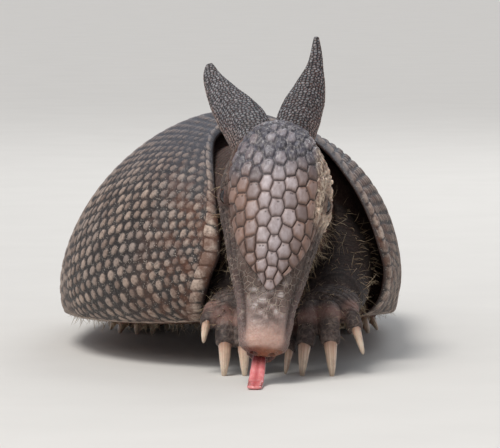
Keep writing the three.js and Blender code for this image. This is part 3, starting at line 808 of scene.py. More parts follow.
def cap_finish():
    """Smooth pale scutes, pinkish in the middle and browner to the sides, darker toward each scute's rim as
    painted shade of its dome, in dark grooves.
    """
    f = Finish("head_scutes")
    beside = f.field("beside")
    scute, tone, brown_and_dome_shade, plain = (f.field(name) for name in ("scute", "tone", "brown_and_dome_shade", "plain"))
    crown, pit, inside = f.field("crown"), f.field("pit"), f.field("inside")
    streak = f.noise(2.2, 5, 0.65, (1, 1, 0.5))
    pale = f.mix(tone, paint(146, 133, 133), paint(196, 185, 187))
    tan = f.mix(tone, paint(88, 66, 56), paint(138, 108, 94))
    face = f.mix(brown_and_dome_shade, pale, tan)
    face = f.mix(f.times(crown, 0.75), face, paint(104, 103, 114))
    face = f.mix(f.ramp(streak, (0.42, 0), (0.72, 0.55)), face, paint(104, 82, 74))
    matrix = f.mix(f.ramp(f.noise(3, 4), (0.35, 0), (0.65, 1)), paint(50, 47, 52), paint(84, 83, 94))
    groove = f.mix(crown, paint(62, 50, 48), matrix)
    colour = f.mix(scute, groove, face)
    flakes = f.noise(1.2, 6, 0.75, (1, 1, 0.45))
    scuff = f.times(crown, f.ramp(flakes, (0.5, 0), (0.66, 0.75)))
    colour = f.mix(scuff, colour, paint(172, 166, 162))
    scab = f.mix(f.ramp(flakes, (0.42, 0), (0.6, 1)), paint(88, 60, 46), paint(226, 204, 180))
    colour = f.mix(f.times(beside, 0.9), colour, scab)
    # Painted shade: near-black inside the small pits.
    colour = f.mix(pit, colour, paint(34, 25, 23))
    hide = f.mix(f.ramp(f.noise(2.5, 4, 0.6), (0.35, 0), (0.7, 1)), paint(66, 54, 50), paint(104, 88, 80))
    colour = f.mix(f.times(plain, 0.9), colour, hide)
    colour = f.mix(inside, colour, paint(60, 46, 42))
    rough = f.ramp(streak, (0.3, 0.36), (0.75, 0.58))
    normal = f.bump(f.noise(1.4, 4), 0.14)
    normal = f.bump(f.noise(0.5, 3, 0.7), 0.05, normal)
    return f.finish(colour, rough, normal, Specular_IOR_Level=0.5)


def cap_seeds():
    """The middles of the head's scutes, in staggered columns, as (round, along / CAP_STRETCH)."""
    seeds = []
    d = CAP_FROM - 10.0
    row = 0
    while d < CAP_TO + 8:
        size = float(scute_size(d))
        reach = int(55 / size)
        for k in range(-reach, reach + 1):
            if (k + row) % 2 == 0:
                wobble = rng.uniform(-0.2, 0.2, 2) * size
                seeds.append((k * size + wobble[0], d / CAP_STRETCH + wobble[1]))
        d += size * CAP_STRETCH / 2
        row += 1
    return np.array(seeds)


def nearest_two(points, seeds):
    """Each point's nearest seed, its distance, and the distance to the border with the next one.

    The points are taken 8000 at a time, so that the table of distances stays small.
    """
    first = np.zeros(len(points), int)
    near, gap = np.zeros(len(points)), np.zeros(len(points))
    for start in range(0, len(points), 8000):
        part = slice(start, start + 8000)
        away = np.linalg.norm(points[part, None] - seeds[None], axis=2)
        order = np.argpartition(away, 1, axis=1)[:, :2]
        pair = np.take_along_axis(away, order, axis=1)
        swap = pair[:, 0] > pair[:, 1]
        order[swap] = order[swap][:, ::-1]
        pair.sort(axis=1)
        first[part], near[part] = order[:, 0], pair[:, 0]
        apart = np.linalg.norm(seeds[order[:, 0]] - seeds[order[:, 1]], axis=1)
        gap[part] = (pair[:, 1] ** 2 - pair[:, 0] ** 2) / (2 * apart)
    return first, near, gap


def head_shield(finish):
    """The cap of scutes on the head, worn to flakes at the crown."""
    back = np.linspace(0, 1, COARSE * 36 + 1)
    across = np.linspace(-1, 1, COARSE * 30 + 1)
    back, across = np.meshgrid(back, across, indexing="ij")
    turn = across * cap_span(back) * RAD
    bow = 1 - across**2
    ends = np.where(back < 0.5, -6, 2.5) * bow * np.abs(2 * back - 1)
    d = CAP_FROM + (CAP_TO - CAP_FROM) * back + ends
    radius = (head_wide(d) + head_high(d)) / 2
    spots = np.stack([turn * radius, d / CAP_STRETCH], axis=-1).reshape(-1, 2)
    seeds = cap_seeds()
    for _ in range(2):
        owner, _, _ = nearest_two(spots, seeds)
        count = np.bincount(owner, minlength=len(seeds))
        for k in (0, 1):
            middle = np.bincount(owner, spots[:, k], len(seeds)) / np.maximum(count, 1)
            seeds[:, k] = np.where(count > 30, 0.6 * middle + 0.4 * seeds[:, k], seeds[:, k])
    wavy = spots + 0.35 * np.stack([noise(spots, 2.4, 71), noise(spots, 2.4, 72)], axis=1)
    owner, near, gap = nearest_two(wavy, seeds)
    owner, near, gap = (values.reshape(d.shape) for values in (owner, near, gap))
    spots, wavy = spots.reshape(*d.shape, 2), wavy.reshape(*d.shape, 2)
    number = rng.random(len(seeds))[owner]
    crown = ease(d + 4 * noise(spots, 9, 74), 72, 92)
    flank = ease(np.abs(turn) / RAD, 26, 56)
    size = scute_size(d)
    gap = np.minimum(gap, 0.9 * (0.62 * size - near) + 0.12)
    width = 0.16 + 0.3 * crown + 0.08 * flank
    scute = ease(gap, width * 0.2, width * 2) * (1 - crown * ease(number, 0.75, 0.35) * 0.85)
    dome = 1 - (1 - np.clip(gap / 1.7, 0, 1)) ** 2
    relief = -0.62 * (1 - ease(gap, 0, width * 2)) + (0.8 - 0.45 * crown) * dome - 0.3
    rough = np.maximum(crown, beside_cap(d, turn))
    relief = relief + 0.07 * noise(wavy, 1.1, 73)
    relief = relief + rough * 0.3 * noise(spots, 0.9, 75)

    # Small pits, at most two on a scute, painted near-black as shade inside them.
    middles = seeds[owner]
    middle_d = middles[..., 1] * CAP_STRETCH
    reach = scute_size(middle_d)
    pits = np.zeros(d.shape)
    for likely in (0.55, 0.3):
        swing = (rng.random(len(seeds)) - 0.5)[owner] * 0.5
        aim = middles + np.stack([swing * reach, 0.3 * reach], axis=-1)
        has = rng.random(len(seeds))[owner] < likely
        away = np.linalg.norm((spots - aim) * (1, CAP_STRETCH), axis=-1)
        pits = np.maximum(pits, np.exp(-((away / 0.34) ** 2)) * has)
    relief = relief - 0.25 * pits

    # Only scutes whose middles are well inside the cap are whole. The others sink into plain skin.
    share = (middle_d - CAP_FROM) / (CAP_TO - CAP_FROM)
    radius = (head_wide(middle_d) + head_high(middle_d)) / 2
    room = cap_span(np.clip(share, 0, 1)) * RAD * radius - np.abs(middles[..., 0])
    whole = ease(np.minimum(room, 60 * (share + 0.06)), -0.9, -0.4)
    relief = relief * (0.3 + 0.7 * whole) - 0.6 * (1 - whole)

    edge = np.minimum(1 - np.abs(across), 0.9 * np.minimum(back, 1 - back) * 2 + 0.02)
    thin = 1 - ease(edge, 0, 0.16)
    out = GAP + CAP_THICK * (1 - 0.55 * thin) + relief * (1 - 0.4 * thin) - 0.15
    out = out - 1.0 * (1 - ease(edge, 0, 0.03))
    outer = head_point(d, turn, out)
    inner = head_point(d[::COARSE, ::COARSE], turn[::COARSE, ::COARSE], -0.9)
    aside = ease(np.abs(turn) / RAD, 4, 44)
    fields = {
        "scute": scute,
        "tone": number,
        # Browner to the sides and toward the snout; the last term darkens each scute's rim as painted shade
        # of its dome.
        "brown_and_dome_shade": np.clip(0.9 * aside + 0.25 * ease(d, 44, 34) + 0.55 * ease(gap, 1.3, 0.1), 0, 1),
        "crown": crown,
        "pit": pits,
        "plain": 1 - whole,
        "beside": beside_cap(d, turn),
    }
    item = sheet_object("head_shield_scutes", outer, inner, finish, fields)
    placed(item, "head_scutes", "head_shield")


# ---------------------------------------------------------------- ears
EAR_THICK = 1.5
EAR_ARC = 75 * RAD
# Each ear's line from root to tip, the way its width goes, and its half width along it.
EARS = {
    "right": {
        "points": [(1, -22, 101), (-4, -17, 112), (-12.2, -9, 123), (-17.4, -2, 132), (-18.6, 2, 138)],
        "across": (0.93, -0.3, 0.26),
        "half": [(0, 9.4), (0.2, 11.2), (0.4, 10.2), (0.6, 7.9), (0.8, 5.2), (0.93, 3.2), (1, 1.3)],
    },
    "left": {
        "points": [
            (20.4, -20, 101), (22.4, -18, 112), (26.8, -16, 125), (29.6, -15, 139), (29.8, -14, 150.5),
        ],
        "across": (0.95, 0.22, -0.16),
        "half": [(0, 8.4), (0.22, 10.2), (0.4, 9.3), (0.58, 6.8), (0.75, 3.8), (0.9, 2.3), (1, 1.1)],
    },
}
ear_cup = curve([(0, 10.5), (0.3, 7), (0.7, 2.8), (1, 0.6)])


def ear_finish():
    """Dark leather covered with rows of tiny raised grains with pale tops."""
    f = Finish("ear_skin")
    grain, inside, lobe = f.field("grain"), f.field("inside"), f.field("lobe")
    ground = f.mix(f.noise(5, 4), paint(14, 14, 17), paint(38, 37, 42))
    top = f.mix(f.noise(2, 3), paint(104, 105, 112), paint(172, 170, 172))
    colour = f.mix(grain, ground, top)
    colour = f.mix(f.times(lobe, grain), colour, paint(158, 134, 124))
    colour = f.mix(inside, colour, f.mix(f.noise(3), paint(78, 58, 52), paint(108, 84, 76)))
    normal = f.bump(f.noise(0.6, 3, 0.7), 0.06)
    return f.finish(colour, 0.62, normal, Specular_IOR_Level=0.4, Subsurface_Weight=0.06)


def ear(side, finish):
    shape = EARS[side]
    path, length = path_through(shape["points"])
    half = curve(shape["half"])
    rows, columns = COARSE * 24 + 1, COARSE * 17 + 1
    t, x = np.meshgrid(np.linspace(0, 1, rows), np.linspace(-1, 1, columns), indexing="ij")
    middle, ahead = on_path(path, t)
    front = unit(np.cross(np.array(shape["across"], float), ahead))
    beside = unit(np.cross(front, ahead))
    ragged = noise(np.stack([t * length, x * 3], axis=-1), 5, 3)
    wide = half(t) * (1 + 0.025 * ragged)
    turn = x * EAR_ARC
    along_wide, along_cup = wide * np.cos(turn), -ear_cup(t) * np.sin(turn)
    size = np.hypot(along_wide, along_cup)
    # Rows of grains that rise toward the ear's edges near its base.
    across = turn * wide * 1.15
    rise = t * length + 0.54 * np.abs(across) * (1 - t)
    gap, number = cells(np.stack([0.72 * across, 1.265 * rise], axis=-1), 1.35, 5)
    grain = ease(gap, 0.1, 0.36) * (0.45 + 0.55 * number)
    edge = np.minimum((1 - np.abs(x)) * wide, (1 - t) * length)
    thick = EAR_THICK * (0.5 + 0.5 * ease(edge, 0, 3))
    relief = 0.34 * ease(gap, 0, 0.34) - 0.2

    def face(out):
        place = middle + (wide * np.sin(turn))[..., None] * beside
        place = place - (ear_cup(t) * (1 - np.cos(turn)))[..., None] * front
        place = place - (out * along_cup / size)[..., None] * beside
        return place + (out * along_wide / size)[..., None] * front

    outer = face(thick / 2 + relief * ease(edge, 0, 1) - softened(edge, 0.7))
    folds = 0.5 * np.sin(t * 34) * ease(t, 0, 0.2) * ease(t, 0.9, 0.5) * (1 - x**2)
    inner = face(-thick / 2 + 0.4 * folds)[::COARSE, ::COARSE]
    outward = -x * SIDES[side]
    lobe = np.maximum(ease(t, 0.5, 0.12) * ease(outward, 0, 0.6), 0.8 * ease(outward, 0.5, 0.8))
    item = sheet_object(f"ear_{side}_leather", outer, inner, finish, {"grain": grain, "lobe": lobe})
    placed(item, "ear_skin", f"ear_{side}")


# ---------------------------------------------------------------- the shapes under the skin
COAT = 0.25  # the skin lies this far inside the solids
TRUNK_FROM = 38
TRUNK_TO = 290
CHEST_ROUND = 36
RUMP_ROUND = 26
BELLY_SAG = 2.5
trunk_middle = curve([(38, 58), (220, 52), (290, 42)])


def trunk():
    """The flesh inside the shell."""
    rings, spokes = 150, 128
    along = spread(rings, 0.03) * (TRUNK_TO - TRUNK_FROM)
    s = (TRUNK_FROM + along)[:, None]
    size = rounded(along, CHEST_ROUND) * rounded(TRUNK_TO - TRUNK_FROM - along, RUMP_ROUND)
    angle = np.linspace(-math.pi, math.pi, spokes, endpoint=False)[None, :]
    side = np.minimum(np.abs(angle), MARGIN) * np.sign(angle)
    shell = shell_point(np.broadcast_to(s, (rings, spokes)), side, PLATE + UNDER_SHELL + COAT)
    turn = np.clip((np.abs(angle) - MARGIN) / (math.pi - MARGIN), 0, 1) * math.pi / 2
    middle_x, middle_y, _ = spine_at(s)
    middle = np.stack([middle_x + 0 * angle, middle_y + 0 * angle, trunk_middle(s) + 0 * angle], axis=-1)
    shell[..., :2] = middle[..., :2] + (shell[..., :2] - middle[..., :2]) * np.cos(turn)[..., None]
    shell[..., 2] -= BELLY_SAG * np.sin(turn)
    points = (middle + (shell - middle) * size[:, None, None]).reshape(-1, 3)
    return points, facing_out(points, tube_faces(rings, spokes))


HEAD_STOPS = (0, 0.035, 0.09, 0.16, 0.24, 0.33, 0.42, 0.5, 0.57, 0.63, 0.71, 0.8, 0.89, 1)


# A shape is a line of points, the way up, half widths, heights and depths along it, and rounded ends.
def head_shape():
    def scaled(profile):
        return [(t, float(profile(t * HEAD_LENGTH))) for t in HEAD_STOPS]

    return {
        "points": [HEAD_TIP + HEAD_BACK * HEAD_LENGTH * t for t in (0, 0.5, 1)],
        "up": HEAD_UP,
        "wide": scaled(head_wide),
        "high": scaled(head_high),
        "deep": scaled(head_deep),
        "caps": HEAD_CAPS,
    }


def jaw_shape():
    line = []
    for t in (0, 0.5, 1):
        d = JAW_LENGTH * t
        drop = float(head_deep(d)) + JAW_OPEN * (1 - t)
        line.append(HEAD_TIP + HEAD_BACK * d - HEAD_UP * drop)
    return {
        "points": line,
        "up": HEAD_UP,
        "wide": [(0, 6.5), (0.2, 8.4), (0.5, 11.5), (1, 17)],
        "high": [(0, 2.6), (1, 8)],
        "deep": [(0, 2.6), (0.5, 4.4), (1, 7)],
        "caps": (6, 16),
    }


NECK = {
    "points": [(12.5, -36, 84), (11, -8, 77), (6, 22, 70), (-2, 58, 64)],
    "up": (0, 0, 1),
    "wide": [(0, 18), (0.25, 21), (0.55, 29), (1, 46)],
    "high": [(0, 17), (0.25, 23.5), (0.55, 30), (1, 36)],
    "deep": [(0, 18), (0.25, 26), (0.55, 34), (1, 40)],
    "caps": (10, 20),
}
FORELEGS = {
    "right": {
        "points": [(-12, 52, 60), (-19, 34, 42), (-14, 14, 35), (-9, -4, 31.5)],
        "up": (0, -0.5, 1),
        "wide": [(0, 20), (0.35, 17), (0.7, 13), (1, 10.5)],
        "caps": (10, 7),
    },
    "left": {
        "points": [(28, 68, 60), (40, 46, 44), (40, 22, 35.5), (38, -2, 31.5)],
        "up": (0, -0.5, 1),
        "wide": [(0, 20), (0.35, 17), (0.7, 14.5), (1, 12)],
        "caps": (10, 7),
    },
}
PALM = {"up": (0, -0.4, 1), "high": [(0, 9), (1, 8)], "deep": [(0, 9), (1, 6)], "caps": (5, 5)}
PALMS = {
    "right": {
        "points": [(-8.5, -1, 30), (-7.5, -12, 28.5), (-6.8, -20, 25.5)],
        "wide": [(0, 9.5), (0.6, 11.5), (1, 11)],
    },
    "left": {
        "points": [(38, 1, 30.5), (36.5, -9, 29.5), (33, -19, 27)],
        "wide": [(0, 11), (0.6, 13.5), (1, 12.5)],
    },
}
# Each finger: its knuckle, the root of its claw, the claw's tip, and the claw's half width.
FINGERS = {
    "right": [
        ((3.4, -14, 23), (4.6, -20, 15.5), (6.2, -24.5, 0), 2.1),
        ((-4, -20.5, 26), (-3.2, -28, 20.5), (-2.4, -32.5, -0.8), 3),
        ((-11.6, -20, 27), (-11.2, -28, 21.5), (-11.6, -32.5, -0.8), 3.2),
        ((-15.4, -14.5, 28.5), (-18.4, -21.5, 25.5), (-20.8, -26, 14), 2.2),
    ],
    "left": [
        ((20.5, -14, 23), (18.6, -21, 15.5), (15.8, -26, 0), 2.1),
        ((27, -20, 27), (25.3, -28, 21), (23.2, -33, -0.8), 3),
        ((35.2, -20, 28), (35.4, -29, 22.5), (36.6, -34, -0.8), 3.2),
        ((43.5, -13, 29), (45.5, -22, 25.5), (50.6, -27.5, 9), 2.3),
    ],
}
SOLE = {
    "up": (0, 0, 1),
    "wide": [(0, 9.5), (0.5, 12), (1, 13)],
    "high": [(0, 5.4), (0.5, 5.6), (1, 4.6)],
    "deep": [(0, 9), (1, 9)],
    "caps": (9, 8),
    "on_floor": True,
}
SOLES = {
    "right": {"points": [(-46, 236, 7.6), (-50, 214, 7.6), (-54, 192, 7.4)]},
    "left": {"points": [(40, 236, 7.6), (44, 214, 7.6), (48, 192, 7.4)]},
}
TOES = {
    "right": [
        ((-42, 198, 7), (-41, 188, 5.6), (-40.5, 180, 0), 1.9),
        ((-47, 190, 7.2), (-47, 179, 6), (-47.5, 168.5, 0), 2.4),
        ((-53, 187, 7.4), (-54, 176, 6.4), (-55.5, 164, 0), 2.8),
        ((-59.5, 190, 7.2), (-61.5, 180, 6), (-64, 169.5, 0), 2.4),
        ((-63, 201, 6.6), (-65.5, 194, 5.6), (-69, 186.5, 0), 1.9),
    ],
}
TOES["left"] = [
    (*[(-x - 6, y, z) for x, y, z in spots], half) for *spots, half in TOES["right"]
]
THIGH = {"up": (0, 1, 0.2), "wide": [(0, 15), (0.5, 15.5), (1, 10.5)], "caps": (12, 7)}
THIGHS = {
    "right": {"points": [(-36, 190, 44), (-54, 202, 28), (-49, 228, 14)]},
    "left": {"points": [(30, 190, 44), (48, 202, 28), (43, 228, 14)]},
}


def digit_shape(digit, back, cuff):
    """A finger or toe, with a swollen knuckle and a cuff of skin over a share of its claw."""
    knuckle, root, tip, half = (np.array(value, float) for value in digit)
    bow = 0.48 * cuff * (1 - cuff) * np.linalg.norm(tip - root)
    start = knuckle + (np.array(back) - knuckle) * 0.45
    over = root + (tip - root) * cuff + unit(root - knuckle) * bow
    swell = ((0, 1.6), (0.35, 2.1), (0.6, 1.4), (0.8, 1.3), (1, 1.4))
    return {
        "points": [start, knuckle, root + (knuckle - root) * 0.2, over],
        "up": (0, -0.4, 1),
        "wide": [(at, half + more) for at, more in swell],
        "caps": (3, 1.2),
        "on_floor": True,
    }


def flesh():
    """Every body of flesh as (kind, points, faces)."""
    # kind, shape, growth, rings and spokes
    shapes = [
        ("head", head_shape(), -COAT, 130, 96),
        ("jaw", jaw_shape(), -COAT, 60, 48),
        ("neck", NECK, -COAT, 70, 80),
    ]
    for side in SIDES:
        palm, sole = PALMS[side]["points"][1], SOLES[side]["points"][1]
        shapes.append(("arm", FORELEGS[side], -COAT, 60, 56))
        shapes.append(("hand", {**PALM, **PALMS[side]}, -COAT, 40, 48))
        shapes += [("hand", digit_shape(finger, palm, 0.32), 0, 30, 24) for finger in FINGERS[side]]
        shapes.append(("leg", {**THIGH, **THIGHS[side]}, -COAT, 50, 56))
        shapes.append(("foot", {**SOLE, **SOLES[side]}, -COAT, 40, 48))
        shapes += [("foot", digit_shape(toe, sole, 0.12), 0, 30, 24) for toe in TOES[side]]
    return [("trunk", *trunk())] + [(kind, *loft(*rest)) for kind, *rest in shapes]


# ---------------------------------------------------------------- the skin
VOXEL = 1.15
TAUBIN = (0.5, -0.52)  # a step in and a step out, which smooth a mesh without shrinking it
KINDS = ("trunk", "head", "jaw", "neck", "arm", "hand", "leg", "foot")


def joined(parts):
    """One closed mesh round all the bodies of flesh."""
    points, faces, start = [], [], 0
    for _, spots, sides in parts:
        points.append(spots)
        faces += [tuple(corner + start for corner in face) for face in sides]
        start += len(spots)
    rough = mesh_object("rough", np.concatenate(points), faces)
    change = rough.modifiers.new("join", "REMESH")
    change.mode = "VOXEL"
    change.voxel_size = VOXEL / 1000
    graph = bpy.context.evaluated_depsgraph_get()
    mesh = bpy.data.meshes.new_from_object(rough.evaluated_get(graph))
    bpy.data.objects.remove(rough)
    return mesh


def read(mesh):
    """A mesh's points in sketch millimetres, and its edges."""
    flat = np.zeros(len(mesh.vertices) * 3, np.float32)
    mesh.vertices.foreach_get("co", flat)
    edges = np.zeros(len(mesh.edges) * 2, np.int32)
    mesh.edges.foreach_get("vertices", edges)
    return (flat.reshape(-1, 3).astype(float) - SHIFT) * 1000, edges.reshape(-1, 2)


def write(mesh, points):
    mesh.vertices.foreach_set("co", metres(points).astype(np.float32).ravel())
    mesh.update()


def normals(mesh):
    """The way out from the mesh at each of its points."""
    flat = np.zeros(len(mesh.vertices) * 3, np.float32)
    mesh.vertex_normals.foreach_get("vector", flat)
    return flat.reshape(-1, 3).astype(float)


def smoothed(values, edges, rounds, steps=TAUBIN):
    """Values moved towards their neighbours' mean, or away from it by a negative step."""
    count = len(values)
    ends = np.concatenate([edges[:, 0], edges[:, 1]])
    others = np.concatenate([edges[:, 1], edges[:, 0]])
    degree = np.maximum(np.bincount(ends, minlength=count), 1)
    values = values.copy()
    for _ in range(rounds):
        for step in steps:
            for k in range(values.shape[1]):
                mean = np.bincount(ends, values[others, k], count) / degree
                values[:, k] += step * (mean - values[:, k])
    return values


def kinds_at(points, parts):
    """Which body of flesh each point is nearest to, as a column of 0 or 1 for each kind."""
    spots = np.concatenate([part[1][::2] for part in parts])
    owner = np.concatenate([np.full(len(part[1][::2]), KINDS.index(part[0])) for part in parts])
    tree = KDTree(len(spots))
    for i, spot in enumerate(spots):
        tree.insert(spot, i)
    tree.balance()
    found = np.array([owner[tree.find(point)[1]] for point in points])
    return np.eye(len(KINDS))[found]


def refine(mesh, chosen):
    """Cuts each face between chosen points into four."""
    work = bmesh.new()
    work.from_mesh(mesh)
    work.verts.ensure_lookup_table()
    edges = [edge for edge in work.edges if chosen[edge.verts[0].index] and chosen[edge.verts[1].index]]
    bmesh.ops.subdivide_edges(work, edges=edges, cuts=1, use_grid_fill=True)
    work.to_mesh(mesh)
    work.free()


def along_path(points, spots):
    """How far along a path each point is, in millimetres."""
    path, length = path_through(spots, 81)
    best = np.full(len(points), np.inf)
    along = np.zeros(len(points))
    step = length / (len(path) - 1)
    for i in range(len(path) - 1):
        ahead = path[i + 1] - path[i]
        t = np.clip((points - path[i]) @ ahead / (ahead @ ahead), 0, 1)
        away = np.linalg.norm(points - path[i] - t[:, None] * ahead, axis=1)
        closer = away < best
        best = np.where(closer, away, best)
        along = np.where(closer, (i + t) * step, along)
    return along


def creases(place, pitch, sharp=2.2):
    """0 in the bottom of evenly spaced creases and 1 on the rolls between them."""
    return 1 - (1 - np.abs(np.sin(math.pi * place / pitch))) ** sharp


def head_place(points):
    """How far along the head a point is, its turn round it, and how far left and up it is."""
    away = points - HEAD_TIP
    d, left, up = away @ HEAD_BACK, away @ HEAD_LEFT, away @ HEAD_UP
    return d, np.arctan2(left, up), left, up


def ridge_at(value, middle, half):
    """1 where a value is `middle`, fading to both sides over about `half`."""
    return np.exp(-(((value - middle) / half) ** 2))


def pressed_eyelids(points):
    """Lids pushed out over each eyeball, with a long narrow opening, and a fold round them."""
    shade = np.zeros(len(points))
    lid = EYE_RADIUS + 0.75
    for side, sign in SIDES.items():
        middle = eye_middle(side)
        outward = unit(HEAD_LEFT * sign + 0.8 * HEAD_UP - 0.1 * HEAD_BACK)
        along = unit(HEAD_BACK - outward * (HEAD_BACK @ outward))
        over = np.cross(outward, along)
        near = np.linalg.norm(points - middle, axis=1) < 12
        local = points[near] - middle
        x, y, z = local @ along, np.abs(local @ over), local @ outward
        r = np.hypot(x, y)
        dome = np.sqrt(np.maximum(lid**2 - np.minimum(r, lid) ** 2, 0))
        target = np.maximum(dome, z - 0.9 * ridge_at(r, 6.1, 1.1)) + 0.5 * ridge_at(r, 7.6, 0.9)
        raised = z + (target - z) * ease(r, 10.5, 7)
        slit = 1.7 * (1 - (x / 4.3) ** 2)
        margin = ridge_at(y - slit, 0.45, math.sqrt(0.18)) * (np.abs(x) < 4.8)
        raised = raised + 0.22 * margin - 0.3 * ridge_at(y - slit, 1.6, 0.35) * (r < 5.4)
        opening = ease(slit - y, -0.15, 0.35)
        raised = raised * (1 - opening) + 0.9 * opening
        out = z > -1
        points[near] = points[near] + np.where(out, raised - z, 0)[:, None] * outward
        shade[near] = np.maximum(shade[near], np.where(out, ease(r, 6.6, 3.4) * 0.7 + 0.3 * margin, 0))
    return points, shade


def skin_places(points, masks, normal):
    """What the skin's relief and colour are worked out from: noise, and regions that fade into the next."""
    at = SimpleNamespace(points=points, **masks)
    at.fine = noise(points, 1.6, 31)
    at.broad = noise(points, 6, 32)
    at.very_broad = noise(points, 17, 33)
    gap, at.number = cells(points, 2.3, 41)
    at.pebble = ease(gap, 0, 0.45)
    d, turn, at.left, up = head_place(points)
    at.d = d
    at.turn = turn
    at.degrees = np.abs(turn) / RAD
    at.head = np.clip(masks["head"] + masks["jaw"] * 0.9, 0, 1)
    at.tops = np.clip(masks["foot"] * ease(points[:, 2], 2, 6) + 0.5 * masks["leg"], 0, 1)
    at.belly = masks["trunk"] * ease(points[:, 2], 40, 22)
    at.cheek = at.head * ease(at.degrees, 52, 66)
    at.ridge = beside_cap(d, turn) * at.head
    at.furrow = ridge_at(at.degrees, 63, 3.5) * ease(d, 46, 62) * ease(d, 104, 90) * at.head
    at.snout = at.head * ease(d, 44, 36) * ease(d, 14, 20) * ease(at.degrees, 118, 80)
    at.side_fold = ridge_at(at.degrees, 64, 7) * ease(d, 44, 30) * ease(d, 4, 14) * at.head
    at.bridge = at.head * ease(at.degrees, 54, 26) * ease(d, 37, 30) * ease(d, 8, 16)
    at.blots = noise(points, 2.3, 38)
    at.rim = at.head * ease(d + 0.9 * at.broad, 3.0, 1.2)
    under = masks["head"] * ease(up, -2.0, -4.2) + masks["jaw"] * ease(normal @ HEAD_UP, 0.2, 0.6)
    at.mouth = np.clip(under * ease(d, 40, 26), 0, 1)
    spots = [HEAD_TIP + 4.1 * sign * HEAD_LEFT + 0.6 * HEAD_UP + 0.3 * HEAD_BACK for sign in SIDES.values()]
    at.from_nostrils = [np.linalg.norm(points - spot, axis=1) for spot in spots]
    return at


def body_relief(at):
    """The height and the grooves of folds round the neck and limbs, and of scales on feet and belly."""
    relief = 0.1 * at.fine + 0.22 * at.broad
    groove = np.zeros(len(relief))
    # where, line, distance between rings, their height, and how much they wander
    folds = [(at.neck, NECK["points"], 4.6, 1.5, 3.0)]
    for side, sign in SIDES.items():
        mine = (at.points[:, 0] - 12) * sign > 0
        folds.append((at.arm * mine, FORELEGS[side]["points"], 3.3, 0.75, 1.6))
        folds.append((at.hand * mine, PALMS[side]["points"], 2.9, 0.55, 1.6))
        folds.append((at.leg * mine, THIGHS[side]["points"], 3.6, 0.6, 1.6))
    for where, line, pitch, depth, wander in folds:
        roll = creases(along_path(at.points, line) + wander * at.very_broad + 0.7 * at.broad, pitch)
        relief = relief + where * depth * (roll - 0.75)
        groove = np.maximum(groove, where * (1 - roll))
    relief = relief + at.tops * (0.4 * at.pebble * (0.6 + 0.4 * at.number) - 0.2)
    relief = relief + at.belly * 0.35 * ease(at.number, 0.6, 0.8) * at.pebble
    return relief, groove


def head_relief(at):
    """The height and the grooves of the head's folds, scales, furrows, ridge and nostrils."""
    right = at.turn < 0
    folds = creases(at.turn * 21 + 1.2 * noise(at.points, 14, 34), 3.3, 1.6)
    folded = at.cheek * ease(at.d, 30, 48)
    relief = folded * (0.62 * folds - 0.4) + at.cheek * 0.3 * (at.pebble - 0.5)
    relief = relief + at.ridge * (1.0 + 0.7 * at.pebble * at.number + 0.5 * at.fine)
    relief = relief - 0.7 * at.furrow * np.where(at.turn > 0, 0.3, 1)
    relief = relief + at.snout * 0.14 * noise(at.points, 3.2, 36)
    lines = creases(at.turn * 11 + 0.8 * noise(at.points, 7, 35), 1.5, 1.3)
    warts = ease(at.number, 0.75, 0.85) * at.pebble
    relief = relief + at.head * ease(at.d, 26, 16) * (0.16 * lines - 0.08 - 0.1 * warts)
    relief = relief - 1.2 * at.side_fold * np.where(right, 1, 0.5)
    for away in at.from_nostrils:
        relief = relief - 2.0 * ease(away, 2.0, 0.6) + 0.3 * ridge_at(away, 2.7, 0.8)
    groove = np.maximum(folded * (1 - folds) * 0.9, np.maximum(0.7 * at.furrow, 0.9 * at.side_fold))
    return relief, groove


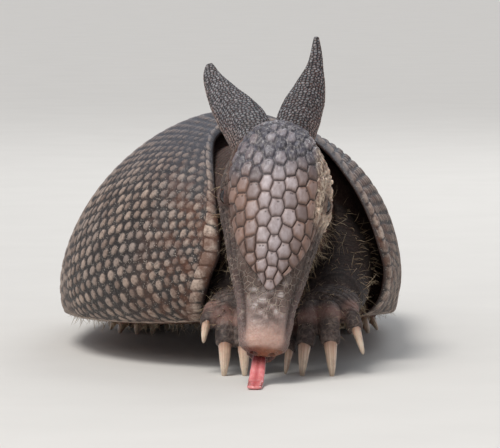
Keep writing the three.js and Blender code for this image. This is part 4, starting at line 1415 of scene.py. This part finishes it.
def skin_colour(at):
    """The colour of each point of the skin, painted layer over layer."""
    colour = np.tile(paint(104, 84, 76), (len(at.points), 1))

    def tint(share, *paints):
        nonlocal colour
        colour = colour + np.clip(share, 0, 1)[:, None] * (np.array(paint(*paints)) - colour)

    # Painted shade: the trunk's flesh under the shell is a dark red-brown; the belly below keeps its own
    # paler colour.
    tint(at.trunk, 62, 42, 38)
    tint(at.belly, 138, 108, 96)
    tint(at.neck, 74, 58, 53)
    tint(at.neck * ease(at.very_broad, 0, 0.5) * ease(at.left, -6, 8) * 0.7, 102, 68, 58)
    # The forelegs' own dark grey-brown, darkened further as painted shade under the shell.
    tint(at.arm, 50, 40, 38)
    tint(at.hand, 66, 54, 51)
    tint(at.leg, 84, 66, 58)
    tint(at.foot, 98, 80, 70)
    tint(at.tops * at.pebble, 128, 110, 96)
    for side in SIDES:
        for knuckle, root, _, half in FINGERS[side]:
            middle = (np.array(knuckle) + np.array(root)) / 2
            away = np.linalg.norm(at.points - middle, axis=1)
            tint(at.hand * ease(away + 1.2 * at.broad, half + 4.6, half + 1) * 0.75, 150, 113, 103)
    tint(at.hand * 0.35 * ease(at.number, 0.55, 0.8) * at.pebble, 150, 132, 122)
    tint(at.head, 98, 82, 76)
    tint(at.cheek * 0.9, 72, 60, 57)
    tint(at.cheek * 0.5 * ease(at.number, 0.45, 0.75) * at.pebble, 146, 132, 122)
    tint(at.furrow * 0.75, 104, 62, 46)
    # The pale ridge's own colour, brightened further as a painted highlight where it is seen edge-on.
    tint(at.ridge * (0.6 + 0.5 * at.pebble + 0.3 * at.fine), 238, 214, 192)
    tint(at.snout, 80, 64, 57)
    pale = ease(noise(at.points, 4.2, 37) + 0.8 * ease(at.degrees, 34, 5), 0.3, 1.0)
    tint(at.snout * pale * 0.65, 142, 130, 126)
    tint(at.head * ease(at.d + 5 * at.broad, 29, 16), 140, 121, 115)
    # The snout tip's own pink, brightened as a painted highlight on the tip.
    tint(at.head * ease(at.d, 16, 5), 198, 164, 150)
    tint(at.bridge * ease(at.blots, 0.1, -0.35) * 0.7, 74, 57, 51)
    # Painted highlight: the pale blots stand for wet glints; the dark blots above are the skin's own.
    tint(at.bridge * ease(at.blots, 0.2, 0.6) * 0.65, 200, 190, 187)
    tint(at.head * ease(at.d, 44, 22) * ease(at.degrees, 46, 74) * 0.8, 106, 88, 86)
    tint(at.head * ease(at.d, 26, 16) * ease(at.broad, 0, 0.7) * 0.4, 132, 106, 98)
    tint(at.jaw, 112, 78, 68)
    tint(at.rim * 0.9, 134, 80, 50)
    tint(at.rim * ease(at.left + 2 * at.broad, 0, -6) * 0.9, 92, 40, 34)
    # The mouth's dark red: partly its red lining, partly painted shade in the mouth gap and under the
    # snout.
    tint(at.mouth * 0.95, 70, 22, 20)
    # Painted shade: dark red-brown inside the nostril pits.
    tint(ease(np.minimum(*at.from_nostrils), 2.1, 1.1) * 0.7, 78, 42, 34)
    return colour


def skin_finish():
    """Bare leathery skin: its markings come with the mesh, its grain and mottling from noise."""
    f = Finish("skin")
    hide = f.field("hide", "Color")
    groove, wet, scaly = f.field("groove"), f.field("wet"), f.field("scaly")
    mottle = f.noise(5, 5, 0.6)
    grain = f.noise(0.8, 4, 0.7)
    darker = f.mix(1.0, hide, paint(150, 120, 108), "MULTIPLY")
    colour = f.mix(f.ramp(mottle, (0.35, 0.0), (0.7, 0.4)), hide, darker)
    colour = f.mix(f.ramp(grain, (0.5, 0), (0.75, 0.35)), colour, f.mix(0.5, hide, paint(190, 168, 150)))
    seam = f.ramp(f.cells(2.9, "DISTANCE_TO_EDGE"), (0.02, 1), (0.09, 0))
    patches = f.ramp(f.noise(7, 2), (0.36, 0.22), (0.6, 0.8))
    colour = f.mix(f.times(f.times(seam, scaly), patches), colour, paint(160, 144, 132))
    # Painted shade: the bottoms of folds and furrows are darkened.
    darkest = f.mix(1.0, hide, paint(96, 72, 66), "MULTIPLY")
    colour = f.mix(f.times(groove, 0.72), colour, darkest)
    rough = f.mix(wet, (0.66, 0.66, 0.66), (0.34, 0.34, 0.34))
    tops = f.times(f.rest(seam), scaly)
    normal = f.bump(f.cells(TINY_SCALE), 0.14)
    normal = f.bump(tops, 0.3, normal)
    normal = f.bump(f.noise(0.45, 4, 0.7), 0.1, normal)
    return f.finish(
        colour, rough, normal,
        Specular_IOR_Level=0.42, Subsurface_Weight=0.08, Subsurface_Scale=0.004,
    )


def skin(finish):
    """One skin over all the flesh. Returns its points, outward directions and masks, for the hair."""
    parts = flesh()
    mesh = joined(parts)
    points, edges = read(mesh)
    points = smoothed(points, edges, 7)
    write(mesh, points)
    owner = dict(zip(KINDS, kinds_at(points, parts).T))
    refine(mesh, owner["head"] + owner["jaw"] + owner["hand"] > 0)
    points, edges = read(mesh)
    points = smoothed(points, edges, 3)
    write(mesh, points)
    table = smoothed(kinds_at(points, parts), edges, 9, (0.5,))
    masks = dict(zip(KINDS, table.T))
    outward = normals(mesh)
    at = skin_places(points, masks, outward)
    body, head = body_relief(at), head_relief(at)
    points = points + (body[0] + head[0])[:, None] * outward
    points, lids = pressed_eyelids(points)
    points[:, 2] = np.where(points[:, 2] < 0.25, 0, points[:, 2])
    write(mesh, points)

    colour = skin_colour(at)
    colour = colour + (0.85 * lids)[:, None] * (np.array(paint(92, 72, 66)) - colour)
    wet = at.head * ease(at.d, 24, 8) * 0.8 + at.mouth + at.bridge * ease(at.blots, 0, 0.4)
    fields = {
        "groove": np.maximum(body[1], head[1]),
        "wet": np.clip(wet, 0, 1),
        "scaly": np.clip(at.snout + 0.5 * at.cheek + 0.3 * at.foot + 0.25 * at.hand, 0, 1),
    }
    dress(mesh, finish, fields)
    layer = mesh.attributes.new("hide", "FLOAT_COLOR", "POINT")
    layer.data.foreach_set("color", np.insert(colour, 3, 1, axis=1).astype(np.float32).ravel())
    nodes = ["trunk", "head", "jaw", "neck"]
    for side in SIDES:
        nodes += [f"{limb}_{side}" for limb in ("foreleg", "forefoot", "hindleg", "hindfoot")]
    placed(linked("skin", mesh), "skin", *nodes)
    return points, normals(mesh), masks


# ---------------------------------------------------------------- hair
HAIR_COUNT = 3000
HAIR_RINGS = 4
HAIR_SIDES = 3
HAIR_DEPTH = 0.4  # how far a hair's root is under the skin
HAIR_PATCH = 0.003  # the width of a hair's patch of the baked map


def hair_finish():
    """Stiff yellowish hair, browner at the root."""
    f = Finish("hair")
    tones = ((0, paint(84, 66, 52)), (0.25, paint(158, 134, 106)), (1, paint(222, 204, 174)))
    colour = f.ramp(f.field("reach"), *tones)
    colour = f.mix(f.ramp(f.noise(2, 2), (0.4, 0), (0.65, 0.5)), colour, paint(112, 92, 72))
    return f.finish(colour, 0.5, f.bump(f.noise(0.3, 2), 0.01), Specular_IOR_Level=0.4)


def hair_roots(points, masks):
    """The skin's points that hairs grow from, with each one's length and the way that it lies."""
    z = points[:, 2]
    d, turn, _, _ = head_place(points)
    under = ease(np.abs(turn) / RAD, 86, 104) * ease(d, 36, 48) * ease(d, 96, 82)
    near_hand = np.clip(masks["hand"], 0, 1) * ease(z, 14, 24)
    # weight, length, lie
    kinds = (
        (masks["neck"] * ease(z, 76, 60) * 0.4, 9.5, (0, 0.1, -1)),
        ((masks["head"] + masks["jaw"]) * under * 0.7, 7.5, (0, 0.3, -1)),
        (masks["arm"] * 0.3, 6.5, (0, -0.5, -0.9)),
        (near_hand * 0.4, 4.5, (0, -0.9, -0.5)),
        (masks["trunk"] * ease(z, 36, 24) * 0.3, 7.0, (0, 0.8, -0.4)),
        (masks["leg"] * 0.6, 6.0, (0, 0.2, -1)),
        (masks["foot"] * ease(z, 6, 10) * 0.2, 3.5, (0, -0.8, -0.4)),
    )
    total = sum(weight for weight, _, _ in kinds)
    long = sum(weight * length for weight, length, _ in kinds) / np.maximum(total, 1e-6)
    lie = sum(weight[:, None] * np.array(way) for weight, _, way in kinds)
    # The skin has four times as many points where it is cut finer.
    fine = masks["head"] + masks["jaw"] + masks["hand"] > 0.5
    likely = total * np.where(fine, 0.25, 1)
    chosen = rng.random(len(points)) < likely * HAIR_COUNT / likely.sum()
    return np.flatnonzero(chosen), long, lie


def hair(points, outward, masks, finish):
    """Sparse stiff hairs on the bare skin: thin three-sided spikes that bend over with their lie."""
    root_at, long, lie = hair_roots(points, masks)
    count = len(root_at)
    root, normal = points[root_at], outward[root_at]
    lie = lie[root_at] * np.where(rng.random(count) < 0.5, 1, 0.8)[:, None]
    lie = unit(lie + 0.45 * rng.normal(size=(count, 3)))
    lie = unit(lie - normal * np.minimum((lie * normal).sum(1), 0)[:, None])
    first = unit(normal * 0.75 + 0.55 * lie + 0.22 * rng.normal(size=(count, 3)))
    last = unit(lie + 0.25 * normal + np.array([0, 0, -0.25]) + 0.3 * rng.normal(size=(count, 3)))
    length = long[root_at] * rng.uniform(0.55, 1.25, count)
    radius = rng.uniform(0.1, 0.17, count)
    aside = unit(np.cross(first, last + 0.01 * rng.normal(size=(count, 3))))
    over = unit(np.cross(aside, first))

    base = root - HAIR_DEPTH * normal
    rings = []
    for t in np.arange(HAIR_RINGS) / HAIR_RINGS:
        bend = t * t / 2
        middle = base + length[:, None] * ((t - bend) * first + bend * last)
        size = (radius * (1 - t) ** 0.6)[:, None]
        for angle in circle(HAIR_SIDES):
            rings.append(middle + size * (math.cos(angle) * aside + math.sin(angle) * over))
    rings.append(base + 0.5 * length[:, None] * (first + last))
    spots = np.stack(rings, axis=1)
    spots[..., 2] = np.maximum(spots[..., 2], 0.2)

    # A tube with a root face, and its last ring closed at the hair's tip.
    *sides, bottom, top = tube_faces(HAIR_RINGS, HAIR_SIDES)
    tip = len(rings) - 1
    faces = [bottom, *sides, *((a, b, tip) for a, b in zip(top, top[1:] + top[:1]))]
    every = [[corner + i * len(rings) for corner in face] for i in range(count) for face in faces]
    reach = np.append(np.repeat(np.arange(HAIR_RINGS) / HAIR_RINGS, HAIR_SIDES), 1)
    shade = np.clip(reach[None, :] * rng.uniform(0.5, 1.3, count)[:, None], 0, 1)
    item = mesh_object("hairs", spots.reshape(-1, 3), every, finish, {"reach": shade})

    # Each hair's patch of the map is at its root's place on the skin, unrolled along and round the body.
    middle_x = spine_at(np.clip(root[:, 1], 0, SHELL_END))[0]
    u = (root[:, 1] + 110) / 720
    v = np.arctan2(root[:, 0] - middle_x, root[:, 2] - 45) / (2 * math.pi) + 0.5
    patch_u = HAIR_PATCH * np.append(np.tile([0, 0.5, 1], HAIR_RINGS), 0.5)
    patch_v = HAIR_PATCH * reach
    places = np.stack([u[:, None] + patch_u, v[:, None] + patch_v], axis=-1).reshape(-1, 2)
    corners = np.zeros(len(item.data.loops), np.int32)
    item.data.loops.foreach_get("vertex_index", corners)
    layer = item.data.uv_layers.new(name="OFBake")
    layer.data.foreach_set("uv", places[corners].astype(np.float32).ravel())
    placed(item, "skin")


# ---------------------------------------------------------------- eyes and tongue
def eye_finish():
    """A wet, nearly black eye."""
    f = Finish("eye")
    colour = f.mix(f.ramp(f.noise(2.4, 4), (0.35, 0), (0.7, 1)), paint(14, 10, 9), paint(34, 22, 17))
    return f.finish(
        colour, 0.09, f.bump(f.noise(1.4, 2), 0.01),
        Specular_IOR_Level=0.6, Coat_Weight=0.8, Coat_Roughness=0.04,
    )


def eye(side, finish):
    rings, spokes = 40, 56
    tall, turn = np.meshgrid(np.linspace(0.04, math.pi - 0.04, rings), circle(spokes), indexing="ij")
    ball = np.stack([np.sin(tall) * np.cos(turn), np.sin(tall) * np.sin(turn), np.cos(tall)], axis=-1)
    points = eye_middle(side) + (ball * EYE_RADIUS).reshape(-1, 3)
    item = mesh_object(f"eye_{side}_ball", points, facing_out(points, tube_faces(rings, spokes)), finish)
    placed(item, "eye", f"eye_{side}")


TONGUE = {
    "points": [
        (6.2, -58, 24), (4.4, -66, 14), (3.4, -72.5, 7), (2.6, -78.5, 2.4), (2, -88, 1.1), (1.8, -93, 1.1),
    ],
    "up": (0, -0.75, 0.66),
    "wide": [(0, 2.6), (0.3, 3), (0.7, 3.4), (1, 3.2)],
    "high": [(0, 1.5), (1, 1.2)],
    "caps": (1.5, 3),
    "on_floor": True,
}


def tongue_finish():
    """Wet pink flesh, covered with tiny pale dots, with painted shade: deeper red in its furrow and dark
    where it goes into the mouth.
    """
    f = Finish("tongue")
    colour = f.mix(f.ramp(f.noise(2.6, 4), (0.35, 0), (0.7, 1)), paint(204, 104, 108), paint(228, 146, 144))
    colour = f.mix(f.times(f.field("groove"), 0.5), colour, paint(160, 58, 62))
    colour = f.mix(f.field("root"), colour, paint(96, 26, 30))
    colour = f.mix(f.ramp(f.cells(0.7), (0.1, 0.25), (0.3, 0)), colour, paint(240, 186, 182))
    normal = f.bump(f.cells(0.6), 0.035)
    normal = f.bump(f.noise(2.2, 3), 0.1, normal)
    return f.finish(
        colour, 0.16, normal,
        Specular_IOR_Level=0.6, Coat_Weight=0.7, Coat_Roughness=0.08,
        Subsurface_Weight=0.15, Subsurface_Scale=0.003,
    )


def tongue(finish):
    rings, spokes = 150, 72

    def furrow(turn):
        return ridge_at(np.cos(turn), 0, 0.3) * (np.sin(turn) > 0)

    def relief(along, turn, length):
        lumps = 0.05 * np.sin(along * 1.1 + 1.6 * np.sin(turn)) * ease(along, 4, 14)
        return -0.36 * furrow(turn) + lumps - 0.06

    points, faces = loft(TONGUE, 0, rings, spokes, relief)
    # root: painted shade, darkening the tongue where it goes into the mouth.
    root = np.repeat(0.9 * ease(points[::spokes, 2], 5.5, 11), spokes)
    fields = {"groove": np.tile(furrow(circle(spokes)), rings), "root": root}
    placed(mesh_object("tongue_flesh", points, faces, finish, fields), "tongue", "tongue")


# ---------------------------------------------------------------- claws
def claw_finish():
    """Horn: darker and warmer at the root, paler to the tip, with fine lines along it."""
    f = Finish("claw")
    tones = (
        (0, paint(84, 54, 42)), (0.36, paint(138, 100, 84)), (0.55, paint(204, 174, 152)),
        (0.85, paint(226, 206, 184)), (1, paint(198, 180, 158)),
    )
    colour = f.ramp(f.field("reach"), *tones)
    colour = f.mix(f.times(f.field("line"), 0.42), colour, paint(146, 108, 84))
    colour = f.mix(f.ramp(f.noise(3, 4, 0.6), (0.5, 0), (0.72, 0.5)), colour, paint(150, 118, 96))
    normal = f.bump(f.noise(0.6, 3, 0.6), 0.05)
    return f.finish(
        colour, 0.3, normal,
        Specular_IOR_Level=0.5, Coat_Weight=0.25, Coat_Roughness=0.2,
        Subsurface_Weight=0.12, Subsurface_Scale=0.002,
    )


def claw(name, digit, number, finish):
    """A claw, ribbed along it and ringed round it. Its number makes it differ from the others."""
    knuckle, root, tip, half = (np.array(value, float) for value in digit)
    outward = unit(root - knuckle)
    long = np.linalg.norm(tip - root)
    shape = {
        "points": [root - outward * 3, root, (root + tip) / 2 + outward * long * 0.12, tip],
        "up": (0, -1, 0.3),
        "wide": [(0, half * 0.8), (0.3, half), (0.7, half * 0.72), (1, half * 0.3)],
        "high": [(0, half * 0.9), (0.3, half * 1.15), (0.7, half * 0.9), (1, half * 0.35)],
        "caps": (1.5, 1.5),
        "on_floor": True,
    }
    rings, spokes = 90, 64

    def rib(turn):
        around = [3.2 * np.cos(turn), 3.2 * np.sin(turn), np.full(turn.shape, float(number))]
        return noise(np.stack(around, axis=-1), 0.7, 71)

    def relief(along, turn, length):
        ring = noise(np.stack([along, np.full(along.shape, float(number))], axis=-1), 1.5, 72)
        return 0.07 * rib(turn) + 0.05 * ring - 0.1 * (np.sin(turn) < -0.7) - 0.06

    points, faces = loft(shape, 0, rings, spokes, relief)
    line = ease(rib(circle(spokes)), 0, 0.5)
    fields = {"reach": np.repeat(spread(rings), spokes), "line": np.tile(line, rings)}
    placed(mesh_object(f"{name}_horn", points, faces, finish, fields), "claw", name)


def claws():
    finish = claw_finish()
    for foot, digits in (("foreclaw", FINGERS), ("hindclaw", TOES)):
        for side in SIDES:
            for i, digit in enumerate(digits[side]):
                claw(f"{foot}_{side}_{i + 1}", digit, 3 * i + len(side), finish)


# ---------------------------------------------------------------- the tail
TAIL = {
    "points": [
        (1, 266, 42), (3, 292, 34), (8, 322, 21.5), (16, 356, 12.8), (22, 396, 10.4), (19, 440, 8),
        (8, 486, 5.9), (-5, 528, 4.2), (-16, 558, 2.6),
    ],
    "up": (0, 0, 1),
    "wide": [(0, 18.5), (0.12, 17.5), (0.3, 13), (0.55, 8.9), (0.8, 5.2), (1, 2.9)],
    "caps": (6, 4),
    "on_floor": True,
}
TAIL_PARTS = {"tail_base": (255, 365.85), "tail_mid": (366.15, 467.85), "tail_tip": (468.15, 570)}
TAIL_RINGS = 15  # rings of large scales
TAIL_RINGED = 0.86  # the share of the tail that they cover. The rest has only small scales


def tail_skin(along, turn, length):
    """Relief, scale and tone of the tail: overlapping rings of large pointed scales between small ones."""
    along, turn = np.broadcast_arrays(along, turn)
    t = along / length
    ring = TAIL_RINGS * (1 - (1 - np.clip(t / TAIL_RINGED, 0, 1)) ** 0.86)
    cell = np.floor(ring)
    place = ring - cell
    count = np.round(22 - 9 * t)
    round_place = turn / (2 * math.pi) * count + 0.5 * (cell % 2)
    column = np.floor(round_place)
    middle = np.abs(round_place - column - 0.5)
    half = 0.46 - 0.38 * ease(place, 0.55, 1.0)
    large = ease(half - middle, -0.03, 0.08) * ease(place, 0.08, 0.2)
    keel = ridge_at(middle, 0, 0.1) * large
    ringed = ease(t, 0.9, 0.82)
    step = 0.9 * (1 - place) * ease(place, 0, 0.1) * ringed
    spots = np.stack([turn * 9 * (1 - 0.6 * t), along, np.zeros(t.shape)], axis=-1)
    gap, small_number = cells(spots, 1.9, 82)
    small = ease(gap, 0, 0.4)
    between = 1 - large * ringed
    relief = ringed * (0.5 * large + 0.25 * keel - 0.5 * (place < 0.07)) - step + 0.16 * small * between
    scute = np.clip(large * ringed + small * (0.35 + 0.3 * small_number) * between, 0, 1)
    number = chance(np.stack([cell, column], axis=-1).astype(np.int64), 81)
    return relief - 0.35, scute, number


def tail(finish):
    """The tail, made whole and then cut into its three lengths."""
    rings, spokes = 620, 128
    marks = []

    def relief(along, turn, length):
        height, *rest = tail_skin(along, turn, length)
        marks.extend(rest)
        return height

    points, _ = loft(TAIL, 0, rings, spokes, relief)
    scute, tone = marks
    grid = points.reshape(rings, spokes, 3)
    where = grid[:, :, 1].mean(axis=1)
    for name, (start, end) in TAIL_PARTS.items():
        chosen = (where > start) & (where < end)
        part = grid[chosen].reshape(-1, 3)
        even = np.full(len(part), 0.25)
        # Even fields: a quarter of the shell's soil and a quarter of its painted sky reflection.
        fields = {"scute": scute[chosen], "tone": tone[chosen], "crest": even, "dirt": even}
        faces = facing_out(part, tube_faces(int(chosen.sum()), spokes))
        placed(mesh_object(f"{name}_scales", part, faces, finish, fields), "shell", name)


# ---------------------------------------------------------------- floor, light and camera
FLOOR_HALF = 60  # metres
SKY_COLOUR = (0.88, 0.92, 1, 1)
SKY_STRENGTH = 0.42
SUN_FROM = (-0.45, -0.8, 1.55)
SUN_STRENGTH = 2.1
SUN_ANGLE = 26 * RAD
LIT = np.array([0.0, -0.15, 0.06])  # what the lights point at, in metres
# Each soft light: its place in metres, its size, its power and its colour.
SOFT_LIGHTS = {
    "front": ((-0.5, -1.2, 0.9), 0.8, 5, (1, 0.97, 0.94)),
    "back": ((0.6, 1.3, 1.3), 0.9, 9, (0.95, 0.98, 1)),
}
CAMERA_AT = (0, -50, 69)  # what the camera looks at, in millimetres
CAMERA_FAR = 2000
CAMERA_TILT = 4 * RAD
CAMERA_LENS = 326.9
CAMERA_SENSOR = 36


def floor_finish():
    f = Finish("floor")
    colour = f.mix(f.noise(60, 3), paint(206, 203, 198), paint(214, 211, 206))
    return f.finish(colour, 0.75, f.bump(f.noise(3, 3), 0.05))


def studio():
    """A pale floor, a pale sky, a soft sun and two soft lights."""
    corners = [(x * FLOOR_HALF, y * FLOOR_HALF, 0) for x, y in ((-1, -1), (1, -1), (1, 1), (-1, 1))]
    mesh = bpy.data.meshes.new("floor")
    mesh.from_pydata(corners, [], [(0, 1, 2, 3)])
    mesh.materials.append(floor_finish())
    floor = linked("floor", mesh)

    world = bpy.data.worlds.new("studio")
    world.use_nodes = True
    background = world.node_tree.nodes["Background"]
    background.inputs["Color"].default_value = SKY_COLOUR
    background.inputs["Strength"].default_value = SKY_STRENGTH
    bpy.context.scene.world = world
    bpy.context.scene.view_settings.view_transform = "Standard"

    sun = bpy.data.lights.new("sky", "SUN")
    sun.energy = SUN_STRENGTH
    sun.angle = SUN_ANGLE
    sun.color = (1, 0.98, 0.95)
    light_from("sky", sun, SUN_FROM)
    for name, (place, size, power, colour) in SOFT_LIGHTS.items():
        lamp = bpy.data.lights.new(name, "AREA")
        lamp.size = size
        lamp.energy = power
        lamp.color = colour
        light_from(name, lamp, place)


def light_from(name, lamp, place):
    """Hangs a lamp at a place, pointing at the animal."""
    item = linked(name, lamp)
    item.location = place
    x, y, z = LIT - np.array(place)
    item.rotation_euler = (math.atan2(math.hypot(x, y), -z), 0, math.atan2(-x, y))


def camera():
    """Just above the animal's eye level, and straight in front of it."""
    data = bpy.data.cameras.new("camera")
    data.sensor_width = CAMERA_SENSOR
    data.lens = CAMERA_LENS
    item = linked("camera", data)
    back = np.array([0, -math.cos(CAMERA_TILT), math.sin(CAMERA_TILT)])
    item.location = metres(CAMERA_AT + CAMERA_FAR * back)
    item.rotation_euler = (math.pi / 2 - CAMERA_TILT, 0, 0)
    bpy.context.scene.camera = item


# ---------------------------------------------------------------- everything
def main():
    shell = shell_finish()
    scapular_shield(shell)
    for number in range(BAND_COUNT):
        band(number, shell)
    pelvic_shield(shell)
    tail(shell)
    head_shield(cap_finish())
    leather = ear_finish()
    for side in SIDES:
        ear(side, leather)
    points, outward, masks = skin(skin_finish())
    hair(points, outward, masks, hair_finish())
    balls = eye_finish()
    for side in SIDES:
        eye(side, balls)
    tongue(tongue_finish())
    claws()
    studio()
    camera()


main()
